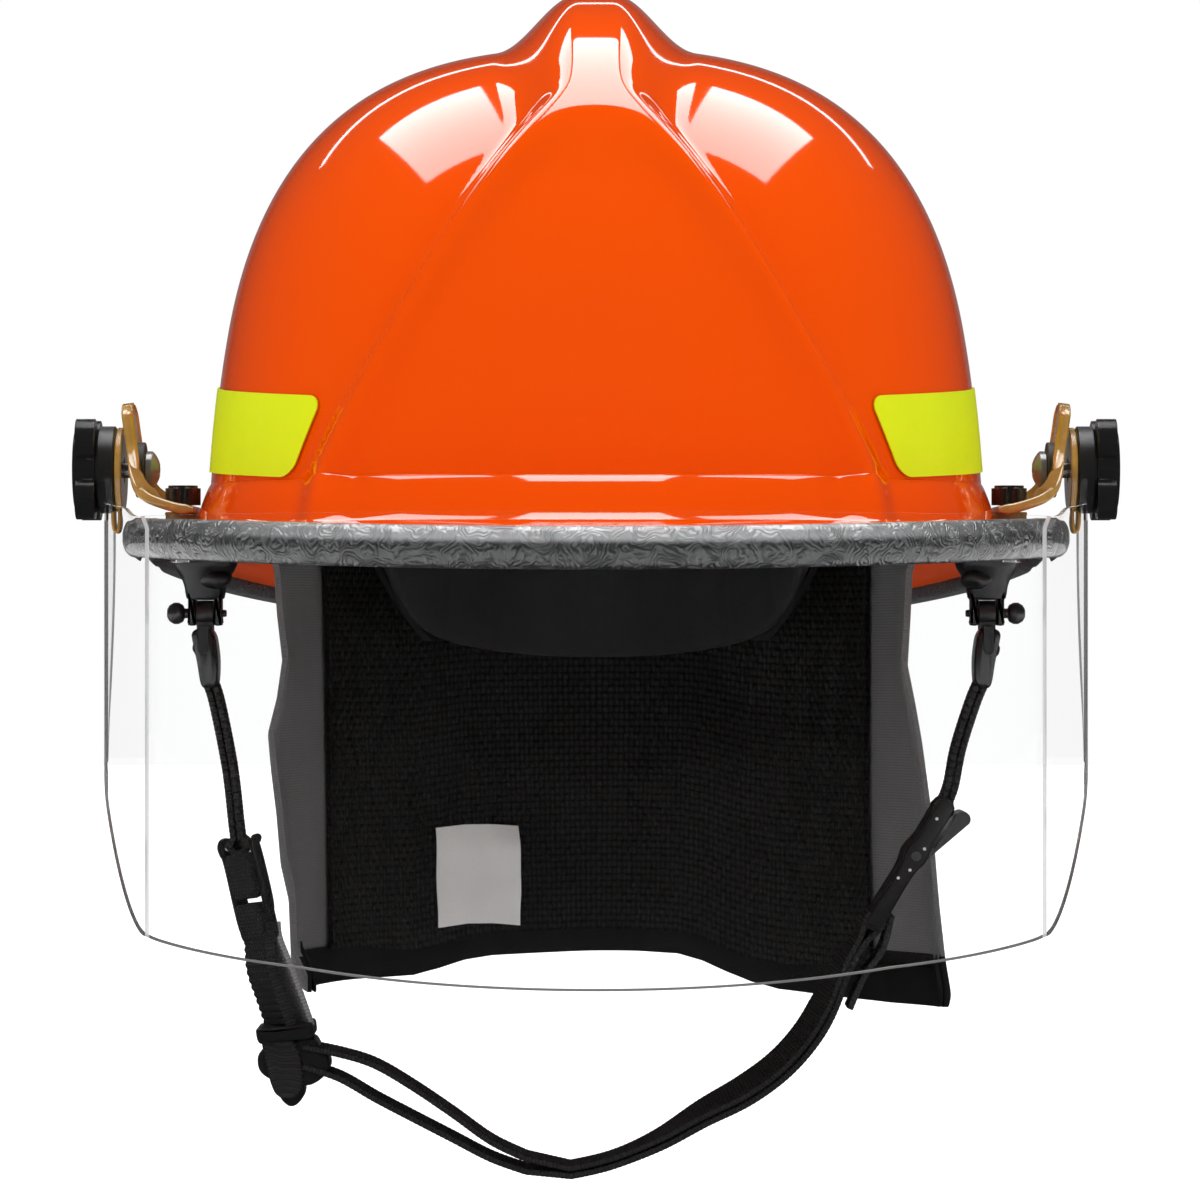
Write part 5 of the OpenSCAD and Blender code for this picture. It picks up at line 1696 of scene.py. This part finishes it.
@dataclass
class ChinStrap:
    """Webbing, slide, keeper and buckle, hung from two cups below the brim."""

    hanger_x: float = 120.0
    hang_z: float = -23.1
    clip_drop: float = 11.0
    web_w: float = 19.0
    web_t: float = 2.2
    bar_d: float = 3.0
    slide_top: tuple[float, float] = (-109.5, -94.0)
    slide_low: tuple[float, float] = (-105.6, -120.0)
    keeper: tuple[float, float] = (-96.0, -153.0)
    pin: tuple[float, float] = (97.5, -97.0)
    lean: tuple[float, float] = (0.524, 0.852)
    low_reach: float = 24.0
    high_reach: float = 17.0
    rail_y: float = 11.8
    face_turn: float = 24.0

    def __post_init__(self) -> None:
        """Works out where the webbing's middle runs round a bar, and where two plies lie."""
        self.bar_reach = self.bar_d / 2 + 0.1 + self.web_t / 2
        self.ply = self.web_t / 2 + 0.05
        self.tail_off = self.bar_reach + self.web_t + 0.1
        self.low_bar = self.spot(0.0, -self.low_reach)
        self.high_bar = self.spot(0.0, self.high_reach)

    def at(self, t: Array | float, n: Array | float) -> Array:
        """Point of x and z, t mm down the lower left run from its upper bar and n mm to its right."""
        d = unit(np.subtract(self.keeper, self.slide_top))
        return self.slide_top + np.multiply.outer(t, d) + np.multiply.outer(n, [-d[1], d[0]])

    def spot(self, n: Array | float, t: Array | float) -> Array:
        """Point of x and z, t mm up the buckle from its lever's pin and n mm to its right."""
        lean = np.array(self.lean)
        return self.pin + np.multiply.outer(t, lean) + np.multiply.outer(n, [lean[1], -lean[0]])

    def turned(self, skin: Skin) -> Skin:
        """Turns the lower left run about its own line, as its solids are.

        Args:
            skin: a mesh of that run.

        Returns:
            The turned mesh.
        """
        d = np.subtract(self.keeper, self.slide_top)
        turn = np.array(Matrix.Rotation(math.radians(self.face_turn), 3, Vector((-d[0], 0, -d[1]))))
        centre = upright(np.array(self.slide_top))
        return Skin((skin.points - centre) @ turn.T + centre, skin.faces, skin.chart)

    def web(
        self, line: Array, width: float, closed: bool = False, rib: float = 0.12, pitch: float = 1.5,
        thick: float = 2.2, twist: float = 0.0,
    ) -> Skin:
        """Webbing along a line of x and z.

        Args:
            line: points of x and z.
            width: width of the webbing.
            closed: whether the line returns to its start.
            rib: height of the cross ribs.
            pitch: distance between two ribs.
            thick: thickness of the webbing.
            twist: angle in degrees by which its face turns to the front between x = 5 and x = 82.

        Returns:
            The closed mesh.
        """
        even = evenly(line, 0.45, closed)
        section = rounded_rect(width, thick - 0.25 - rib, 0.75, 3, 6)
        route, wide, x = upright(even), Y_AXIS, even[:, 0]
        if twist:
            turn = np.radians(twist * smooth((x - 5) / 45) * smooth((82 - x) / 14))[:, None]
            normal = upright(left_of(even, closed))
            normal *= np.sign(normal @ (Z_AXIS - X_AXIS))[:, None]
            wide = np.cos(turn) * Y_AXIS + np.sin(turn) * normal
        return ribbon(route, wide, section, closed, rib, pitch)

    @staticmethod
    def crossbar(at: Array, half: float) -> Skin:
        """A bar along Y through a point of x and z."""
        return bar([at[0], -half, at[1]], [at[0], half, at[1]])

    def slide(self) -> None:
        """Makes the slide: a rail with a riveted ear, a slim rail, three bars, and a small hook."""
        rails = (
            ([-2.6, -1.6, 1, 5, 26, 28, 26, 6, 2.5, 0, -2],
             [-0.4, 1.6, 2.4, 2.2, 2.2, 0, -2.2, -2.4, -3.0, -3.2, -2.2], 3.0, 11.4, 1.0),
            ([-1.5, 0, 10, 20, 23, 20, 10, 0], [0.8, 2.2, 2.6, 2.4, 0.8, -0.8, -0.6, -0.8], 2.6, -11.4, 0.9),
            ([-1.2, -2.2, -2.3, -1.2, 0.4, 0.6], [0.2, 0.8, 2.6, 3.4, 2.6, 0.8], 2.0, -11.2, 0.7),
        )
        skins = [pebble(self.at(t, n), depth, y, edge) for t, n, depth, y, edge in rails]
        skins += [self.crossbar(self.at(k, 0.0), 11.5) for k in (0.0, 13.2, 26.4)]
        slide = self.turned(joined(*skins)).place("strap_slide_moulded")
        finished(slide, Body.STRAP, MOULDED, "strap_slide")
        dome = [[0, -0.6], [1.0, -0.6], [1.0, 0.2], [0.6, 0.6], [0, 0.75]]
        rivet = spun(dome, 24, upright(self.at(0.6, -0.5), 9.9), -Y_AXIS)
        finished(self.turned(rivet).place("slide_rivet"), Body.STRAP, RIVET_GLINT)

    def ribbed(self) -> None:
        """Makes the lower left webbing with its two wraps round the slide's bars."""
        skins = []
        for t0, t1, thick in ((3.4, 16.3, 2.7), (19.0, 29.6, 3.0)):
            mid = (t0 + t1) / 2
            n = thick * np.array([-0.9, 0, 0.9, 1.05, 0.9, 0, -0.9, -1.05])
            wrap = self.at([t0, t0 - 0.3, t0, mid, t1, t1 + 0.3, t1, mid], n)
            skins.append(pebble(wrap, self.web_w + 0.6, 0.0, 1.0))
        route = [self.at(27.0, 0.0), [-102.7, -132.0], [-99.9, -140.5], np.add(self.keeper, [-0.6, 3.0])]
        skins.append(self.web(catmull(route, 8), self.web_w, rib=0.5, pitch=2.3, thick=3.9))
        ribbed = self.turned(joined(*skins)).place("web_ribbed", 50)
        finished(ribbed, Body.STRAP, WEBBING, "strap_web_ribbed")

    def keep(self) -> None:
        """Makes the keeper: a notched bar, two side lobes and a tab, with the webbing folded over it."""
        top = [[-103.7, -151.6], [-103.2, -149.7], [-98, -149.5], [-92, -148.7], [-87.3, -148.1],
               [-86.3, -150], [-86.8, -152.6], [-92, -153.3], [-98, -153.8], [-100.5, -154.4],
               [-102.8, -154.2]]
        left = [[-103.4, -158.5], [-101.5, -156.2], [-98, -156], [-97, -162], [-98.5, -165.6],
                [-101.6, -164.4], [-103.3, -162]]
        right = [[-92, -154], [-86.5, -152.8], [-84.2, -156], [-82, -158.6], [-81.5, -162], [-84, -165.4],
                 [-88, -167.4], [-92, -166]]
        tab = [[-97, -168.5], [-90, -167.5], [-89.4, -170.6], [-91.6, -173.4], [-94, -173.8], [-96.4, -171.6]]
        parts = ((top, 22, 1.2), (left, 15, 2), (right, 17, 2), (tab, 12, 0.8))
        keeper = joined(*(pebble(outline, depth, 0, edge) for outline, depth, edge in parts))
        finished(keeper.place("strap_keeper_moulded"), Body.STRAP, MOULDED, "strap_keeper")
        wrap = [[-101.7, -153.8], [-97, -153.0], [-92.6, -153.2], [-90.4, -157.5], [-89.4, -163],
                [-89.8, -168.4], [-93, -171.4], [-97.3, -170.4], [-99.4, -166.5], [-100.6, -161.5],
                [-101.6, -157]]
        finished(pebble(wrap, 19, 0, 1.4).place("keeper_wrap"), Body.STRAP, WEBBING)

    def cup(self, side: int) -> Skin:
        """A hanger: a cup under a plate, with a lobe beside it and two ears for the pin.

        Args:
            side: 1 or -1 for the side of the helmet.

        Returns:
            The mesh.
        """
        x = side * self.hanger_x
        profile = catmull([[0, -3.6], [8.7, -3.6], [9.7, -5.4], [9.7, -8.2], [8.8, -10.2], [7.4, -12.4],
                           [6.5, -15], [6.1, -17.4], [5.2, -18.8], [0, -19.1]], 4)
        profile = np.vstack([[0, -3.6], profile[profile[:, 0] > 0.4], [0, -19.1]])
        plate = rounded_rect(26, 25, 3, 4) + [side * 121.0, -4.5]
        rings = [np.column_stack([plate, np.full(len(plate), z)]) for z in (-4.2, -1.9)]
        a = np.linspace(0, 2 * np.pi, 32, endpoint=False)
        b = np.radians(np.linspace(-80, 80, 15))[:, None]
        lobe = merged(
            side * 116.4 + 5.0 * np.cos(b) * np.cos(a),
            -5.4 + 4.6 * np.cos(b) * np.sin(a),
            -12.6 + 3.0 * np.sin(b) + 0.5 * np.cos(3 * a) * np.cos(b),
        )
        ear = rounded_rect(2.3, 10.6, 0.9, 3) + [x, -21.6]
        ears = [pebble(ear + [e, 0], 8, 0, 0.6, 2) for e in (-3.98, 3.98)]
        return joined(spun(profile, 48, x * X_AXIS, Z_AXIS), tube(np.array(rings)), tube(lobe), *ears)

    def hang(self) -> None:
        """Makes the hangers, their pins with a ball at the outer end, and a sleeve over each clip."""
        shaft = [[0, -6.6], [0.9, -6.5], [1.1, -6.0], [1.1, -5.2], [1.9, -5.1], [1.9, 5.1], [1.5, 5.4],
                 [1.5, 6.4], [2.6, 6.9], [3.3, 8.3], [3.3, 9.7], [2.5, 11.1], [1.3, 11.8], [0, 11.9]]
        sleeve = [[123.8, -29.4], [122.6, -28.0], [120.4, -27.7], [118.2, -28.0], [117.0, -29.4],
                  [116.3, -32], [115.7, -38], [116.2, -45], [118.6, -46], [120.9, -45], [122.2, -38],
                  [123.5, -32]]
        pins, sleeves = [], []
        for side, name in ((-1, "left"), (1, "right")):
            finished(self.cup(side).place(f"hanger_{name}_cup"), Body.HELMET, MOULDED, f"hanger_{name}")
            pins.append(spun(shaft, 40, np.array([side * self.hanger_x, 0, self.hang_z]), side * X_AXIS))
            sleeves.append(pebble(np.array(sleeve) * [side, 1], 14.5, 0, 1.6, 4))
        finished(joined(*pins).place("hanger_pins_black"), Body.HELMET, PIN, "hanger_pins")
        finished(joined(*sleeves).place("strap_sleeves"), Body.STRAP, GLOSSY)

    def buckle(self) -> None:
        """Makes the buckle's frame: two rails with a boss at the lever's pin, two bars and small rivets."""
        n = [0, 1.9, 2.7, 2.6, 3.6, 2.4, 2.6, 1.8, 0, -1.8, -2.6, -2.4, -3.6, -2.6, -2.7, -1.9]
        t = [19.8, 19.0, 17, 6, 0, -6, -23, -25.6, -26.4, -25.6, -23, -6, 0, 6, 17, 19.0]
        rails = [pebble(self.spot(n, t), 2.8, y, 0.8, 4) for y in (-self.rail_y, self.rail_y)]
        bars = [self.crossbar(at, self.rail_y) for at in (self.low_bar, self.high_bar)]
        frame_piece = joined(*rails, *bars).place("buckle_frame_moulded")
        finished(frame_piece, Body.STRAP, MOULDED, "buckle_frame")
        dome = [[0, -0.4], [0.5, -0.4], [0.5, 0.0], [0.3, 0.3], [0, 0.4]]
        spots = ((-0.6, 13.0), (1.0, 3.2), (0.6, -4.6), (-1.2, -8.5))
        rivets = [spun(dome, 20, upright(self.spot(*spot), -13.3), -Y_AXIS) for spot in spots]
        finished(joined(*rivets).place("buckle_rivets"), Body.STRAP, RIVET_GLINT)

    def sides(self) -> None:
        """Makes the two upper webs, each a loop round two bars."""
        right_bar = np.array([self.hanger_x, self.hang_z - self.clip_drop])
        left_bar, top, high = right_bar * [-1, 1], np.array(self.slide_top), self.high_bar
        left = [left_bar, left_bar + [0.2, -1.5], left_bar + [0.9, -8], [-116.5, -50], [-112.5, -70],
                top + [-1.0, 7], top + [-0.3, 1.5], top]
        right = [high, high + [0.6, 1.5], high + [2.6, 7], [111.3, -64], [115.8, -50], right_bar + [-1.0, -8],
                 right_bar + [-0.2, -1.5], right_bar]
        for name, route in (("left", left), ("right", right)):
            web = self.web(loop_route(route, self.bar_reach, self.ply), 13.0, True)
            finished(web.place(f"web_{name}", 50), Body.STRAP, WEBBING, f"strap_web_{name}")

    def tails(self) -> None:
        """Makes the loose ends of the webbing behind the slide and the buckle."""
        low = np.array(self.slide_low)
        left = [low + [self.tail_off, 2], low + [self.tail_off + 0.6, -3], [-96.8, -131], [-93.0, -141],
                [-89.9, -149.8]]
        right = [self.low_bar + [self.tail_off + 0.4, 2], self.low_bar + [2.8, -8], [82, -134], [77.5, -144]]
        left_tail = self.turned(self.web(catmull(left, 8), self.web_w, rib=0.1))
        right_tail = self.web(catmull(right, 8), self.web_w - 2, rib=0.1)
        # The left tail's webbing is painted lighter, as lit; the right tail keeps the dark webbing.
        finished(left_tail.place("web_tail_left", 50), Body.STRAP, LIT_TAIL_WEB, "strap_tail")
        finished(right_tail.place("web_tail_right", 50), Body.STRAP, DARK_WEB, "strap_tail")

    def chin(self) -> None:
        """Makes the chin webbing: from the keeper to the buckle's lower bar, round it and back."""
        split = np.array([self.keeper[0] + 6.3, -158.5])
        upper = [split + [0, 3], [-78.6, -157.7], [-68, -161], [-56.8, -167.4], [-44, -176], [-31.9, -184.6],
                 [-20, -190.2]]
        lower = [split + [0, -3], [-78.6, -165.1], [-67.5, -171.4], [-56.8, -177], [-44, -183.6],
                 [-31.9, -189.8], [-20, -194]]
        mid = catmull([[-9.2, -194.1], [4.6, -190.9], [19, -184.8], [32.8, -176.5], [45.4, -169.7],
                       [56, -162], [64.2, -153], [70.3, -143], [75.6, -132],
                       self.low_bar - np.multiply(self.lean, 6)], 6)
        side = left_of(mid) * self.ply
        there = np.vstack([catmull(upper, 6)[:-1], (mid + side)[1:]])
        turn = round_bar(self.low_bar, along(mid)[-1], self.bar_reach, 100, -100)
        back = np.vstack([(mid - side)[:0:-1], catmull(lower, 6)[::-1][1:]])
        web = self.web(np.vstack([there, turn, back]), self.web_w, twist=14.0)
        finished(web.place("web_chin", 50), Body.STRAP, WEBBING, "strap_web_chin")

    def build(self) -> None:
        """Makes the webbing and dresses the moulded pieces."""
        self.sides()
        self.ribbed()
        self.slide()
        self.keep()
        self.hang()
        self.buckle()
        self.chin()
        self.tails()
        dressed(
            ("strap_clips", "round", Body.STRAP, MOULDED, 0.35),
            ("buckle_lever", "round", Body.LEVER, GLOSSY, 0.5),
        )


class StowageRing:
    """Ring in a folded clip below the rear brim."""

    def build(self) -> None:
        """Dresses the clip, its screws and the ring, whose edges are round as they are."""
        dressed(
            ("ring_bracket", "round", Body.HELMET, MOULDED, 0.3),
            ("ring_screws", "steel", Body.HELMET, STEEL, 0.2),
        )
        finished(rounded_copy("hanging_ring", "ring_steel", 0.0, 60), Body.RING, STEEL)


# Studio


@dataclass
class Studio:
    """Camera at the photograph's angle, soft lamps, a white surround and a pale floor."""

    floor_z: float = -0.26
    floor_half: float = 6.0
    level: float = 0.83
    sensor: float = 36.0

    def camera(self) -> None:
        """Camera 1.6 m away, level with the brim."""
        data = bpy.data.cameras.new("camera")
        data.sensor_width = self.sensor
        data.lens = self.sensor * CAMERA_FAR / (PHOTO_SIDE * MM_PER_PX)
        data.clip_start, data.clip_end = 0.05, 60.0
        cam = bpy.data.objects.new("camera", data)
        cam.location = (0.0012, -CAMERA_FAR * MM, -0.019)
        cam.rotation_euler = (math.radians(90), 0, 0)
        bpy.context.collection.objects.link(cam)
        bpy.context.scene.camera = cam

    def lamp(self, name: str, at: tuple, size: tuple[float, float], watts: float) -> None:
        """Rectangular lamp that faces the helmet. One named shine shows only in reflections, and hangs
        level where it is near.

        Args:
            name: name of the lamp.
            at: its place in metres.
            size: width and height in metres.
            watts: its power.
        """
        data = bpy.data.lights.new(name, "AREA")
        data.shape, data.energy = "RECTANGLE", watts
        data.size, data.size_y = size
        lamp = bpy.data.objects.new(name, data)
        lamp.location = at
        shine_only = name.startswith("shine")
        if not shine_only or at[1] > 2:
            aim = Vector((0, 0, 0.03)) - Vector(at)
            lamp.rotation_euler = aim.to_track_quat("-Z", "Y").to_euler()
        lamp.visible_camera = lamp.visible_transmission = False
        lamp.visible_diffuse, lamp.visible_glossy = not shine_only, shine_only
        bpy.context.collection.objects.link(lamp)

    def surround(self) -> None:
        """White surround for the camera and for glass, even light for the rest; reflections show a
        white field behind the helmet and grey elsewhere."""
        world = bpy.data.worlds.new("surround")
        world.use_nodes = True
        w = Wiring(world.node_tree)
        path = w.add("LightPath").outputs
        straight = w.math("LESS_THAN", path["Glossy Depth"], 0.5)
        through = w.math("MULTIPLY", path["Is Transmission Ray"], straight)
        seen = w.math("MAXIMUM", path["Is Camera Ray"], through)
        way = w.add("SeparateXYZ", Vector=w.add("TexCoord").outputs["Generated"]).outputs[1]
        field = w.math("MULTIPLY", w.math("SUBTRACT", way, 0.94), 20.0, clamp=True)
        shine = w.math("MULTIPLY_ADD", field, 0.14, 0.035)
        plain = w.math("MULTIPLY", w.math("SUBTRACT", 1.0, path["Is Glossy Ray"], clamp=True), self.level)
        mirrored = w.math("MULTIPLY", path["Is Glossy Ray"], shine)
        back = world.node_tree.nodes["Background"].inputs
        w.feed(back["Color"], (1, 1, 1, 1))
        w.feed(back["Strength"], w.math("MAXIMUM", seen, w.math("ADD", plain, mirrored)))
        bpy.context.scene.world = world

    def floor(self) -> None:
        """Pale floor well below the helmet, white where it is seen and with its shadow kept."""
        side = np.array([-self.floor_half, self.floor_half])
        corners = merged(side[None, :], side[:, None], self.floor_z) / MM
        obj = Skin(corners.reshape(-1, 3), [np.array([[0, 1, 3, 2]])]).place("floor")
        mat = bpy.data.materials.new("floor_paper")
        mat.use_nodes = True
        w = Wiring(mat.node_tree)
        path = w.add("LightPath").outputs
        seen = w.math("MAXIMUM", path["Is Camera Ray"], path["Is Transmission Ray"])
        mirror = w.math("SUBTRACT", path["Is Glossy Ray"], path["Is Transmission Ray"], clamp=True)
        tone = w.math("MULTIPLY_ADD", mirror, -0.78, 0.82)
        shader = mat.node_tree.nodes["Principled BSDF"]
        for key, value in {
            "Roughness": 1.0,
            "Specular IOR Level": 0.0,
            "Base Color": w.add("CombineXYZ", i0=tone, i1=tone, i2=tone).outputs[0],
            "Emission Color": (1, 1, 1, 1),
            "Emission Strength": w.math("MULTIPLY", seen, 0.6),
        }.items():
            w.feed(shader.inputs[key], value)
        obj.data.materials.append(mat)

    def build(self) -> None:
        """Makes camera, surround, floor and lamps."""
        bpy.context.scene.view_settings.view_transform = "Standard"
        self.camera()
        self.surround()
        self.floor()
        self.lamp("top", (0.0, 0.1, 1.5), (1.8, 1.2), 11.0)
        self.lamp("front_fill", (0.0, -2.2, 0.5), (1.6, 0.9), 3.0)
        for name, x in (("shine_left", -0.645), ("shine_right", 0.645)):
            self.lamp(name, (x, 0.36, 1.25), (0.61, 1.05), 12.4)
        self.lamp("shine_crown", (0.0, 0.03, 1.25), (0.5, 0.97), 13.2)
        self.lamp("shine_strip", (0.0, 3.0, 1.85), (4.2, 0.09), 5.0)


def main() -> None:
    """Builds the helmet piece by piece."""
    logging.basicConfig(level=logging.INFO, format="%(message)s")
    shell = Shell()
    for part in (
        Studio(),
        shell,
        BrimTrim(shell),
        Tapes(shell),
        FaceShield(),
        PivotSet(shell),
        Suspension(shell),
        NeckCape(shell),
        ChinStrap(),
        StowageRing(),
    ):
        log.info("%s", type(part).__name__)
        part.build()


if __name__ == "__main__":
    main()
